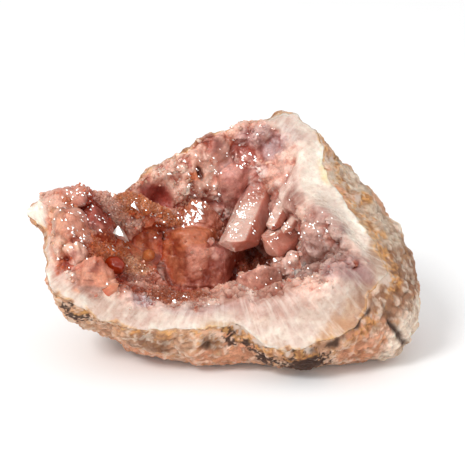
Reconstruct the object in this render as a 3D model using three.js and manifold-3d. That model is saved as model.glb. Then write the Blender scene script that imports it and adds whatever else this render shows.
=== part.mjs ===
// Pink amethyst geode: a hollow stone broken open, with its hollow lined by
// rose-coloured crystals. It formed as one piece, so it is one solid: a shell,
// and the large crystals that are rooted in it.
//
// Millimetres, +Z up. The open side looks towards -Y and up. The origin is under
// the middle of the stone, at the height of the flat patch that it rests on.

import * as THREE from 'three';
import { ConvexGeometry } from 'three/addons/geometries/ConvexGeometry.js';
import { ParametricGeometry } from 'three/addons/geometries/ParametricGeometry.js';
import { mergeVertices } from 'three/addons/utils/BufferGeometryUtils.js';
import Module from 'manifold-3d';

const wasm = await Module();
wasm.setup();

// Driving dimensions. The broken face lies in a sloping plane, and places near it
// are given as (right, up, out): along +X, up the slope, and out along its normal.
const faceMiddle = new THREE.Vector3(0, -9.5, 29);
const faceSlope = 45;             // degrees from level
const shellDepth = 37;            // from the broken face to the back of the shell
const hollowDepth = 17;           // from the broken face to the floor of the hollow
const shellPole = [2, 2];         // right and up, where the outer skin closes
const hollowPole = [-1, 4];       // right and up, where the inner skin closes
const bellyWear = 3.5;            // height that is worn away under the stone
const lipRise = 0.22;             // rise of the pale band for each mm of its width
const pyramidSlope = 1.27;        // steepness of a crystal's end faces
const smallFaceShare = 0.27;      // how far a crystal's small end faces cut in
const weldDistance = 0.0001;      // corners closer than this are one corner
const columns = 66;               // round the rim
const outerRows = 22;
const innerRows = 27;

// Stations round the rim, anticlockwise as seen from the open side:
// [right, up, out, width of the pale band, bulge of the outside below the rim]
const rimStations = [
  [39, -6.5, 2, 6, 10.5],
  [36.5, -1, 2, 8, 13],
  [34, 5, 1, 9, 14],
  [30, 10.5, 1, 10, 14],
  [26.5, 17, 0, 10, 12.5],
  [24.5, 23.5, 0, 9, 8.5],
  [24, 30, 0, 7, 3.5],
  [20.5, 35.3, -1, 6, 1],
  [16.8, 38, -1, 5, 0],
  [11, 37, -1, 3, 0],
  [5.5, 36, -2, 2, 0],
  [0, 34, -2, 2, 0],
  [-5.2, 33.2, -2, 2, 0],
  [-9.5, 29.8, -3, 2, 0],
  [-15, 26, -3, 2, 0],
  [-20.3, 22.2, -3, 2, 0],
  [-24.5, 18, -3, 2, 0],
  [-27.5, 14.5, -1, 2, -1],
  [-32, 14.2, 4, 2, 0],
  [-37, 13.3, 5, 2, 0],
  [-42, 11, 5, 2, 0],
  [-47.5, 7.7, 2, 3, -4],
  [-44.5, 3, 2, 3, -2],
  [-44.3, -2.5, 3, 3, -1],
  [-43.8, -8, 3, 3, -1],
  [-41.5, -13.5, 3, 4, 0],
  [-36.5, -16.7, 2, 4, 0.5],
  [-31, -19.5, 1, 5, -0.5],
  [-25, -21.6, 0, 5, 1.5],
  [-19, -22.2, 0, 5, 3],
  [-12, -21.9, 0, 5, 5],
  [-5, -22.2, 0, 5, 6.5],
  [1, -20.9, 0, 5, 6],
  [6, -23, 0, 8, 4.5],
  [11.5, -27.8, 0, 12, 0],
  [17, -27.6, 0, 12, 1.5],
  [22.5, -25.2, 0, 11, 3.5],
  [28, -23.5, 0, 9, 5.5],
  [33, -19.5, 0, 8, 10],
  [34.8, -13.8, 1, 6, 13],
  [38, -9.8, 2, 5, 12],
];

// Swellings and pits of the inner skin: [right, up, rise, spread right, spread up, turn in degrees]
const swellings = [
  [-36, 3, 8, 9, 8, 0],           // crystal mass at the left end
  [-13, 10.5, 8, 14, 3.2, -8],    // shelf across the hollow
  [9, 7.5, -9, 5.5, 4, 0],        // deep pocket
  [21, -11, 9, 13, 9, 0],         // broad mass at the front right
  [-27, -11, 6, 8, 5, 0],         // mass at the front left
  [-17, 16.5, -4, 3, 3, 0],       // round pit in the back wall
  [26, 6, 5, 7, 9, 20],           // right wall
  [-5, -9, 3, 9, 4, 0],           // low sill at the front
];

// The large crystals: [root, tip, radius, twist, flat, slant]. root and tip are
// (right, up, out), radius is to a long edge, twist turns the crystal about its
// length in degrees, flat squeezes it, and slant raises one side of its end.
const crystals = {
  spear: [[12.5, 22.5, -11], [1.2, 2.4, -7], 5, 40, 0.9, [-0.4, 0.5]],
  spearSide: [[16.5, 20.5, -7], [11, 8.8, -5.5], 2.4, 0, 0.9, [-0.1, 0.3]],
  broad: [[24, 10.5, -6], [11.6, 0.6, -8], 4.6, 20, 0.85, [-0.3, 0.5]],
  splinter: [[17.5, 14, -4], [13.8, 7, -2.5], 1.4, 0, 0.9, [0, 0]],
  knuckle: [[27, -2.5, -3], [19, 4.6, 2], 4.2, 10, 0.9, [0.1, 0.1]],
  knuckleTwo: [[28, 1.5, -2], [23, 4.9, 3.4], 3, 30, 0.9, [0, 0]],
  ridge: [[18, -4.5, -11], [16.2, 1.6, -5], 3.2, 10, 0.9, [0, 0.2]],
  ridgeTwo: [[15, -5.5, -13], [13.6, 0.2, -6.5], 2.6, 30, 0.9, [0, 0.2]],
  threshold: [[9.5, -10.5, -17], [8, -2.5, -6.5], 5.4, 30, 0.9, [0, 0.7]],
  sill: [[-7.5, -0.9, -22.9], [-7.5, 10.3, -13.1], 9, 40, 0.87, [0, 0.75]],
  crown: [[-7.5, 10, -20], [-6.3, 14.5, -6], 6, 10, 0.9, [0.1, 0.1]],
  shelfFace: [[-18.8, 4.4, -19.2], [-18.8, 15.4, -9.5], 7, 30, 0.87, [0, 0.5]],
  bead: [[-19.3, -1.5, -16], [-19.2, 2.8, -9.5], 1.7, 0, 1, [0, 0]],
  leftBlock: [[-33, 3, -4], [-32, 7.8, 6.5], 4.6, 20, 0.95, [0.1, 0.2]],
  leftPale: [[-39, -1, 0], [-37.5, 3, 11.5], 4.2, 0, 0.9, [0, 0.1]],
  leftWhite: [[-37, -6.5, 0], [-35.5, -2.8, 9], 3, 30, 0.9, [0, 0.2]],
  leftPeak: [[-32, -15, -3], [-30.8, -6.3, 8.5], 5.2, 0, 0.9, [0.1, 0]],
  ember: [[-28, -9.5, -7], [-27.6, -4, 0], 2.5, 10, 1, [0, 0.2]],
  column: [[-4.5, 22, -12], [-3, 33, -1.5], 4, 15, 0.8, [0.2, 0.4]],
  columnLeft: [[-8, 24, -10], [-7, 31.5, -1], 3.2, 45, 0.8, [0, 0.3]],
  columnTwo: [[3, 20, -16], [1.5, 26.5, -6.5], 5.2, 40, 0.8, [0, 0.4]],
  roof: [[7, 27, -10], [5, 34, -1], 4.6, 10, 0.8, [0, 0.4]],
};

const faceFrame = new THREE.Matrix4()
  .makeRotationX(THREE.MathUtils.degToRad(faceSlope))
  .setPosition(faceMiddle);

// The closed Catmull-Rom curve through the stations, in all five numbers at once.
function rimAt(turn) {
  const count = rimStations.length;
  const place = THREE.MathUtils.euclideanModulo(turn, 1) * count;
  const first = Math.floor(place);
  const part = place - first;
  const near = [-1, 0, 1, 2].map((step) => rimStations[(first + step + count) % count]);
  const [right, up, out, band, bulge] = near[0].map((_, k) => {
    const [a, b, c, d] = near.map((station) => station[k]);
    const bend = (2 * a - 5 * b + 4 * c - d) * part ** 2 + (3 * b - a - 3 * c + d) * part ** 3;
    return 0.5 * (2 * b + (c - a) * part + bend);
  });
  return { right, up, out, band, bulge };
}

// The outer skin, from the rim (drop 0) to the pole behind it (drop 1): rings that
// shrink along a quarter of a superellipse and swell by each station's bulge.
function outerSkin(turn, drop, target) {
  const rim = rimAt(turn);
  const dx = rim.right - hollowPole[0];
  const dy = rim.up - hollowPole[1];
  const reach = Math.hypot(dx, dy);
  const narrow = Math.cos((drop * Math.PI) / 2) ** 0.75;
  const deep = Math.sin((drop * Math.PI) / 2) ** 1.05;
  const spread = reach * narrow + rim.bulge * Math.sin(Math.PI * drop ** 0.7);
  target.set(
    hollowPole[0] + (shellPole[0] - hollowPole[0]) * deep + (dx / reach) * spread,
    hollowPole[1] + (shellPole[1] - hollowPole[1]) * deep + (dy / reach) * spread,
    rim.out * (1 - deep) - shellDepth * deep,
  );
  target.applyMatrix4(faceFrame);
  if (target.z < bellyWear) {
    target.z = Math.max(target.z + bellyWear, 0) ** 2 / (4 * bellyWear);
  }
}

// A swelling is a bell curve with two spreads, turned in the plane of the face.
function swellingAt(right, up, [middleX, middleY, rise, spreadX, spreadY, turnDegrees]) {
  const turn = THREE.MathUtils.degToRad(turnDegrees);
  const dx = right - middleX;
  const dy = up - middleY;
  const along = (dx * Math.cos(turn) + dy * Math.sin(turn)) / spreadX;
  const across = (dy * Math.cos(turn) - dx * Math.sin(turn)) / spreadY;
  return rise * Math.exp(-(along ** 2) - across ** 2);
}

// The inner skin, from the rim (drop 0) to the floor of the hollow (drop 1): the
// pale band rises to a lip, the wall falls away behind it, and the swellings add.
function innerSkin(turn, drop, target) {
  const { smoothstep } = THREE.MathUtils;
  const rim = rimAt(turn);
  const dx = rim.right - hollowPole[0];
  const dy = rim.up - hollowPole[1];
  const right = hollowPole[0] + dx * (1 - drop);
  const up = hollowPole[1] + dy * (1 - drop);
  const band = rim.band / Math.hypot(dx, dy);
  const lip = rim.out + lipRise * rim.band;
  const wall = smoothstep((drop - band * 0.8) / (0.62 - band * 0.3), 0, 1);
  const inside = smoothstep(drop / (band * 1.3), 0, 1);
  let out = rim.out + (lip - rim.out) * smoothstep(drop / band, 0, 1);
  out -= (hollowDepth + lip) * wall;
  for (const swelling of swellings) {
    out += inside * swellingAt(right, up, swelling);
  }
  target.set(right, up, out).applyMatrix4(faceFrame);
}

// The whole skin in one sheet: outer pole, rim, inner pole.
function skin(turn, down, target) {
  const row = down * (outerRows + innerRows);
  if (row <= outerRows) {
    outerSkin(turn, 1 - row / outerRows, target);
  } else {
    innerSkin(turn, (row - outerRows) / innerRows, target);
  }
}

// The 22 corners of a six-sided crystal that stands on the origin along +Z. Three
// large end faces meet at the tip, and three small ones cut the edges between them.
function crystalCorners(radius, length) {
  const flat = radius * Math.cos(Math.PI / 6);
  const endHeight = pyramidSlope * flat;
  const cut = smallFaceShare * endHeight * 0.5;
  const halfWidth = (0.5 * flat - cut / pyramidSlope) / Math.sin(Math.PI / 3);
  const corners = [new THREE.Vector3(0, 0, length)];
  for (let k = 0; k < 6; k += 1) {
    const angle = (k * Math.PI) / 3;
    const x = radius * Math.cos(angle);
    const y = radius * Math.sin(angle);
    corners.push(new THREE.Vector3(x, y, 0), new THREE.Vector3(x, y, length - endHeight));
  }
  for (let k = 0; k < 3; k += 1) {
    const outward = new THREE.Vector3(1, 0, 0);
    outward.applyAxisAngle(new THREE.Vector3(0, 0, 1), Math.PI / 6 + (k * 2 * Math.PI) / 3);
    const across = new THREE.Vector3(-outward.y, outward.x, 0);
    const top = outward.clone().multiplyScalar((2 * cut) / pyramidSlope);
    corners.push(top.setZ(length - cut));
    for (const side of [-halfWidth, halfWidth]) {
      const low = outward.clone().multiplyScalar(flat).addScaledVector(across, side);
      corners.push(low.setZ(length + cut - endHeight));
    }
  }
  return corners;
}

// A crystal from its root to its tip, with its local y kept towards the open side.
function crystalGeometry([root, tip, radius, twist, flat, slant]) {
  const start = new THREE.Vector3(...root);
  const along = new THREE.Vector3(...tip).sub(start);
  const length = along.length();
  along.normalize();
  const side = new THREE.Vector3(0, 0, 1).cross(along).normalize();
  const front = along.clone().cross(side);
  const spin = new THREE.Matrix4().makeRotationZ(THREE.MathUtils.degToRad(twist));
  const place = new THREE.Matrix4().makeBasis(side, front, along).setPosition(start);
  const corners = crystalCorners(radius, length).map((corner) => {
    corner.applyMatrix4(spin);
    corner.y *= flat;
    corner.z += slant[0] * corner.x + slant[1] * corner.y;
    return corner.applyMatrix4(place).applyMatrix4(faceFrame);
  });
  return new ConvexGeometry(corners);
}

// A closed geometry as a manifold solid. Corners at one place become one corner,
// and the triangles that this closes up, at the poles of the skin, are dropped.
function solidFrom(geometry) {
  geometry.deleteAttribute('normal');
  geometry.deleteAttribute('uv');
  const merged = mergeVertices(geometry, weldDistance);
  const triangles = [];
  for (let k = 0; k < merged.index.count; k += 3) {
    const [a, b, c] = [0, 1, 2].map((step) => merged.index.getX(k + step));
    if (a !== b && b !== c && c !== a) {
      triangles.push(a, b, c);
    }
  }
  const mesh = new wasm.Mesh({
    numProp: 3,
    vertProperties: new Float32Array(merged.attributes.position.array),
    triVerts: new Uint32Array(triangles),
  });
  return new wasm.Manifold(mesh);
}

function geometryFrom(solid) {
  const { vertProperties, triVerts } = solid.getMesh();
  const geometry = new THREE.BufferGeometry();
  geometry.setAttribute('position', new THREE.BufferAttribute(vertProperties, 3));
  geometry.setIndex(new THREE.BufferAttribute(triVerts, 1));
  geometry.computeVertexNormals();
  return geometry;
}

function geodeSolid() {
  let solid = solidFrom(new ParametricGeometry(skin, columns, outerRows + innerRows));
  for (const crystal of Object.values(crystals)) {
    solid = solid.add(solidFrom(crystalGeometry(crystal)));
  }
  return solid;
}

const roseQuartz = new THREE.MeshStandardMaterial({ color: '#c39c8d', roughness: 0.55, metalness: 0 });
const geode = new THREE.Mesh(geometryFrom(geodeSolid()), roseQuartz);
geode.name = 'geode';

const part = new THREE.Group();
part.add(geode);

export default part;
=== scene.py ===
import math

import bpy
import numpy as np
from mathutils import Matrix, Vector


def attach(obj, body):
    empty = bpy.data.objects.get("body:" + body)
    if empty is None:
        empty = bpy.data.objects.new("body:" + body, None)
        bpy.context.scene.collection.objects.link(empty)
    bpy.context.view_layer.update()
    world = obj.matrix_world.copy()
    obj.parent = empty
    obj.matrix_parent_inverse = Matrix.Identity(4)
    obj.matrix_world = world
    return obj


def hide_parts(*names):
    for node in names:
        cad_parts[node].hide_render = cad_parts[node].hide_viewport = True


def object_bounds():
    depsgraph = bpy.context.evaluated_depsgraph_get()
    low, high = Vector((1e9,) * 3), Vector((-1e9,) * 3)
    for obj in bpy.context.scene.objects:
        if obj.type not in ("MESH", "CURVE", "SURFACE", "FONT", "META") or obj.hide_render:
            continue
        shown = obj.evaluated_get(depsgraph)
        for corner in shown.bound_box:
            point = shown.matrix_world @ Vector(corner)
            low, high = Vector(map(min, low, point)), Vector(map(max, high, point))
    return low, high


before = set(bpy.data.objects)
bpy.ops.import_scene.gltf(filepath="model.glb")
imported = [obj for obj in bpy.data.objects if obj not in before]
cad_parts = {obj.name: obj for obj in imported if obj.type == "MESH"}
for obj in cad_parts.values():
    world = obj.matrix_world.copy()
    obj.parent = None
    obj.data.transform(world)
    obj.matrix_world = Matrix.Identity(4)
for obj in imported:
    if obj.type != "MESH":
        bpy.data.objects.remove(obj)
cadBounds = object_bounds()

print("geode: frame loaded")

# All shapes are worked out in millimetres in the frame of the CAD part and put
# into Blender in metres. A place near the broken face is (right, up, out): along
# +X, up the slope of the face, and out along its normal.

mm = 0.001

camera = {
    "elevation": 20,           # degrees, looking down
    "distance": 380,           # mm from the target
    "lens": 120,
    "nearClip": 0.01,          # m
    "targetShift": (1.8, -8.5, 4.3),   # mm from the middle of the stone's box
}


def addObject(name, data, place=(0, 0, 0), toward=None):   # toward: the point its -Z axis faces
    thing = bpy.data.objects.new(name, data)
    thing.location = place
    if toward is not None:
        thing.rotation_euler = (Vector(toward) - Vector(place)).to_track_quat("-Z", "Y").to_euler()
    bpy.context.scene.collection.objects.link(thing)
    return thing


def addCamera(settings):   # on the line that falls by the elevation to the target
    target = np.mean(cadBounds, axis=0) + mm * np.array(settings["targetShift"])
    tilt = math.radians(settings["elevation"])
    ahead = np.array([0, math.cos(tilt), -math.sin(tilt)])
    lens = bpy.data.cameras.new("camera")
    lens.lens, lens.clip_start = settings["lens"], settings["nearClip"]
    bpy.context.scene.camera = addObject("camera", lens, target - ahead * settings["distance"] * mm, target)


addCamera(camera)

face = {
    "middle": (0, -9.5, 29),   # mm
    "slope": 45,               # degrees from level
    "shellDepth": 37,          # mm from the broken face to the back
    "hollowDepth": 17,         # and to the floor of the hollow
    "shellPole": (2, 2),       # where the back and the floor lie: right, up
    "hollowPole": (-1, 4),
    "bellyWear": 3.5,          # mm worn off the underside
    "lipRise": 0.22,           # mm for each mm of band
    "shellNarrowing": 0.75,    # powers that shape the outside
    "shellDeepening": 1.05,
    "bulgeStart": 0.7,
    "wallTop": 0.8,            # widths of the band
    "wallFoot": 0.62,          # share of the way to the pole, and less
    "wallPull": 0.3,           # for a wide band
    "swellStart": 1.3,         # widths of the band
}
faceRise, faceRun = math.sin(math.radians(face["slope"])), math.cos(math.radians(face["slope"]))
faceAxes = np.array([[1, 0, 0], [0, faceRun, faceRise], [0, -faceRise, faceRun]])
faceMiddle, hollowPole = np.array(face["middle"]), np.array(face["hollowPole"], float)

# Stations round the rim, anticlockwise from the open side:
# right, up, out, width of the pale band, bulge of the outside below the rim
rimStations = np.array([
    (39, -6.5, 2, 6, 10.5), (36.5, -1, 2, 8, 13), (34, 5, 1, 9, 14), (30, 10.5, 1, 10, 14),
    (26.5, 17, 0, 10, 12.5), (24.5, 23.5, 0, 9, 8.5), (24, 30, 0, 7, 3.5), (20.5, 35.3, -1, 6, 1),
    (16.8, 38, -1, 5, 0), (11, 37, -1, 3, 0), (5.5, 36, -2, 2, 0), (0, 34, -2, 2, 0),
    (-5.2, 33.2, -2, 2, 0), (-9.5, 29.8, -3, 2, 0), (-15, 26, -3, 2, 0), (-20.3, 22.2, -3, 2, 0),
    (-24.5, 18, -3, 2, 0), (-27.5, 13.6, -1.5, 2, -1), (-32, 12.4, 1.5, 2, 0), (-37, 11.8, 3, 2, 0),
    (-44, 11.3, 4.6, 2, 0), (-49.2, 8.2, 2.2, 3.6, -4), (-45.4, 3.4, 2, 3, -2), (-44.3, -2.5, 3, 3, -1),
    (-43.8, -8, 3, 3, -1), (-41.5, -13.5, 3, 4, 0), (-36.5, -16.7, 2, 4, 0.5), (-31, -19.5, 1, 5, -0.5),
    (-25, -21.6, 0, 5, 1.5), (-19, -22.2, 0, 5, 3), (-12, -21.9, 0, 5, 5), (-5, -22.2, 0, 5, 6.5),
    (1, -20.9, 0, 5, 6), (6, -23, 0, 8, 4.5), (11.5, -27.8, 0, 12, 0), (17, -27.6, 0, 12, 1.5),
    (22.5, -25.2, 0, 11, 3.5), (28, -23.5, 0, 9, 5.5), (33, -19.5, 0, 8, 10), (34.8, -13.8, 1, 6, 13),
    (38, -9.8, 2, 5, 12),
], float)

# Swellings and pits of the inner skin: right, up, spread right, spread up, turn, rise
swellings = {
    "leftMass": (-36, 3, 9, 8, 0, 8), "shelf": (-13, 10, 14, 3.4, -8, 7.2),
    "pocket": (9, 7.5, 5.5, 4, 0, -9), "frontRightMass": (21, -11, 13, 9, 0, 9),
    "frontLeftMass": (-27, -11, 8, 5, 0, 6), "roundPit": (-17.4, 16.4, 3.2, 2.6, 0, -5),
    "rightWall": (26, 6, 7, 9, 20, 5), "frontSill": (-5, -9, 9, 4, 0, 3),
    "midFloor": (-18, 4, 4.5, 6, 0, 3.5), "leftGap": (-34, 8.8, 5, 1.8, 0, 4),
    "leftCrease": (-41, 7.6, 4, 1.6, 0, 2.2), "spearRoot": (9.5, 23.5, 3.6, 3.2, 0, 5),
}


def smoothStep(low, high, value):   # 0 below low, 1 above high, 3x^2 - 2x^3 between
    part = np.clip((value - low) / (high - low), 0, 1)
    return part * part * (3 - 2 * part)


def unit(vectors):   # the same directions, each of length 1
    return vectors / np.maximum(np.linalg.norm(vectors, axis=-1, keepdims=True), 1e-12)


def toWorld(right, up, out):   # middle + right X + up (cos, sin) + out (-sin, cos)
    return faceMiddle + np.stack(np.broadcast_arrays(right, up, out), -1) @ faceAxes


def toFace(points):   # the inverse of toWorld
    return np.moveaxis((points - faceMiddle) @ faceAxes.T, -1, 0)


def rimAt(turn):   # closed Catmull-Rom curve through the stations, turn 0 to 1
    count = len(rimStations)
    place = (turn % 1.0) * count
    first = np.floor(place).astype(int)
    part = (place - first)[..., None]
    a, b, c, d = (rimStations[(first + step) % count] for step in (-1, 0, 1, 2))
    bend = (2 * a - 5 * b + 4 * c - d) * part**2 + (3 * b - a - 3 * c + d) * part**3
    return 0.5 * (2 * b + (c - a) * part + bend)


def rimAway(turn):   # from the pole of the hollow to the rim, as (right, up)
    return rimAt(turn)[..., :2] - hollowPole


def outerSkin(turn, drop):
    # rings from the rim (drop 0) to the pole behind (drop 1): reach * cos(drop)^narrowing
    # + bulge * sin(drop^start) from the middle, and depth * sin(drop)^deepening behind the rim
    rim, away = rimAt(turn), rimAway(turn)
    narrow = np.linalg.norm(away, axis=-1) * np.cos(drop * math.pi / 2) ** face["shellNarrowing"]
    spread = narrow + rim[..., 4] * np.sin(math.pi * drop ** face["bulgeStart"])
    deep = np.sin(drop * math.pi / 2) ** face["shellDeepening"]
    poleShift = np.array(face["shellPole"]) - hollowPole
    flat = hollowPole + poleShift * deep[..., None] + unit(away) * spread[..., None]
    return toWorld(flat[..., 0], flat[..., 1], rim[..., 2] * (1 - deep) - face["shellDepth"] * deep)


def wornFlat(points):   # below the wear height z becomes (z + wear)^2 / 4 wear, and 0 under that
    wear = face["bellyWear"]
    z = points[..., 2]
    worn = np.clip(z + wear, 0, None) ** 2 / (4 * wear)
    return np.concatenate([points[..., :2], np.where(z < wear, worn, z)[..., None]], -1)


def swellOf(zone, right, up):
    # strength * exp(-(x / spreadX)^2 - (y / spreadY)^2) with x, y from its middle and turned
    middleX, middleY, spreadX, spreadY, degrees, strength = zone
    turn = math.radians(degrees)
    dx, dy = right - middleX, up - middleY
    along = (dx * math.cos(turn) + dy * math.sin(turn)) / spreadX
    across = (dy * math.cos(turn) - dx * math.sin(turn)) / spreadY
    return strength * np.exp(-(along**2) - across**2)


def zoneSum(zones, right, up):   # the swells of all the zones, added up
    return sum(swellOf(zone, right, up) for zone in zones.values())


def innerSkin(turn, drop):
    # from the rim (drop 0) straight in to the floor of the hollow (drop 1): a
    # band that rises to a lip, a wall that falls by a smoothstep, and swellings
    rim, away = rimAt(turn), rimAway(turn)
    right, up = np.moveaxis(hollowPole + away * (1 - drop)[..., None], -1, 0)
    band = rim[..., 3] / np.linalg.norm(away, axis=-1)
    rise = face["lipRise"] * rim[..., 3]
    wall = (drop - band * face["wallTop"]) / (face["wallFoot"] - band * face["wallPull"])
    out = rim[..., 2] + rise * smoothStep(0, 1, drop / band)
    out -= (face["hollowDepth"] + rim[..., 2] + rise) * smoothStep(0, 1, wall)
    out += smoothStep(0, 1, drop / (band * face["swellStart"])) * zoneSum(swellings, right, up)
    return toWorld(right, up, out)


def latticeValue(cell, seed):   # a fixed random number from 0 to 1 for each whole place
    x, y, z = (cell[..., k] for k in range(3))
    key = (x * 73856093) ^ (y * 19349663) ^ (z * 83492791) ^ (seed * 39916801)
    key = (key ^ (key >> 13)) & 0x7FFFFFFF
    key = (key * 1274126177) & 0x7FFFFFFF
    key = ((key ^ (key >> 16)) * 668265263) & 0x7FFFFFFF
    return ((key ^ (key >> 15)) & 0xFFFFF) / float(0xFFFFF)


def latticeVector(cell, seed):   # three of them
    return np.stack([latticeValue(cell, seed + k) for k in range(3)], -1)


def softNoise(points, grain, seed):   # lattice values blended by smoothsteps, from -1 to 1
    place = points / grain
    corner = np.floor(place).astype(np.int64)
    part = place - corner
    part = part * part * (3 - 2 * part)
    total = 0
    for step in np.ndindex(2, 2, 2):
        share = np.prod(np.where(np.array(step, bool), part, 1 - part), axis=-1)
        total = total + share * latticeValue(corner + np.array(step), seed)
    return total * 2 - 1


noises = {   # grain in mm, seed, octaves
    "ragged": (3.5, 31, 4), "zoneEdge": (3.5, 31, 3), "blotch": (4, 45, 4), "mottle": (1.6, 41, 3),
    "flash": (2.6, 51, 3), "rimWander": (3, 59, 4), "rimEdge": (2.5, 43, 4), "rimStain": (5, 47, 3),
    "fibres": (1.8, 139, 3), "patchy": (4, 167, 3), "waves": (2.6, 311, 3), "seamWobble": (2.5, 37, 3),
    "rockEdge": (3, 71, 4), "rockFine": (0.9, 77, 2), "rockSpecks": (0.75, 79, 3), "rockBroad": (12, 73, 2),
    "rockTone": (1.1, 91, 2), "spill": (3, 61, 4), "grit": (1, 17, 2), "creased": (6, 27, 3),
    "pitted": (7, 29, 2), "bendX": (5, 201, 3), "bendY": (5, 211, 3), "bendZ": (5, 221, 3),
}


def roughNoise(points, name):   # sum of softNoise at grain / 2^k, halved each time
    grain, seed, octaves = noises[name]
    return sum(softNoise(points, grain / 2**k, seed + k) * 0.5**k for k in range(octaves))


hexShare = 0.866   # half width of a hexagon across its sides, for 1 to a corner


def latticeCells(points, grain):   # places in grains, and the 27 cells round each
    place = points / grain
    corner = np.floor(place).astype(np.int64)
    return place, (corner + np.array(step) - 1 for step in np.ndindex(3, 3, 3))


def cellNoise(points, grain, seed):
    # distance in grains to the nearest and the second nearest of one random
    # point in each lattice cell, and the nearest one's own random number
    nearest = np.full(points.shape[:-1], 9.0)
    second, value = nearest, 0 * nearest
    place, cells = latticeCells(points, grain)
    for cell in cells:
        far = np.linalg.norm(place - cell - latticeVector(cell, seed), axis=-1)
        closer = far < nearest
        second = np.where(closer, nearest, np.minimum(second, far))
        value = np.where(closer, latticeValue(cell, seed + 7), value)
        nearest = np.where(closer, far, nearest)
    return nearest, second, value


def crystalField(points, grain, steep, seed):
    # the highest of many six-sided pyramids, one for each lattice cell, each
    # peak - steep * the hexagonal distance along two random directions
    best = np.full(points.shape[:-1], -9.0)
    place, cells = latticeCells(points, grain)
    for cell in cells:
        gone = place - cell - latticeVector(cell, seed)
        first = unit(latticeVector(cell, seed + 3) - 0.5)
        other = unit(np.cross(first, latticeVector(cell, seed + 6) - 0.5))
        a, b = np.sum(gone * first, -1), np.sum(gone * other, -1) * hexShare
        reach = np.maximum(np.abs(a), np.maximum(np.abs(a / 2 + b), np.abs(a / 2 - b)))
        best = np.maximum(best, 0.6 * latticeValue(cell, seed + 9) - steep * reach)
    return best * grain


def facetRelief(points, form):   # crystalField about its mean; form: size, height, steepness, seed
    size, height, steep, seed = form
    field = crystalField(points, size, steep, seed)
    return height * (field - field.mean())


def linear(colour):   # 0 to 255 as seen on a screen, to Blender's linear numbers
    share = np.array(colour, float) / 255
    return np.where(share <= 0.04045, share / 12.92, ((share + 0.055) / 1.055) ** 2.4)


tints = {key: linear(colour) for key, colour in {
    "cream": (210, 186, 170), "bandPink": (196, 158, 146), "chalk": (240, 228, 214),
    "glintWhite": (255, 246, 238), "paleRose": (226, 186, 168), "rose": (204, 146, 126),
    "deepRose": (180, 104, 82), "wine": (142, 40, 14), "mahogany": (132, 54, 32), "frost": (236, 200, 184),
    "blockRose": (202, 148, 132), "spearRose": (190, 110, 92), "lilac": (150, 106, 94),
    "salmon": (202, 130, 100), "amber": (196, 116, 66), "ember": (144, 36, 2), "creviceStainAndShade": (196, 104, 60),
    "sillRose": (198, 122, 98), "shelfRed": (200, 118, 80), "rockCream": (238, 218, 198),
    "tan": (208, 162, 130), "pinkRock": (214, 150, 116), "greyRock": (196, 174, 152),
    "brownRock": (150, 110, 84), "ochre": (210, 152, 88), "umber": (136, 86, 54), "manganese": (58, 28, 10),
}.items()}

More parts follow.
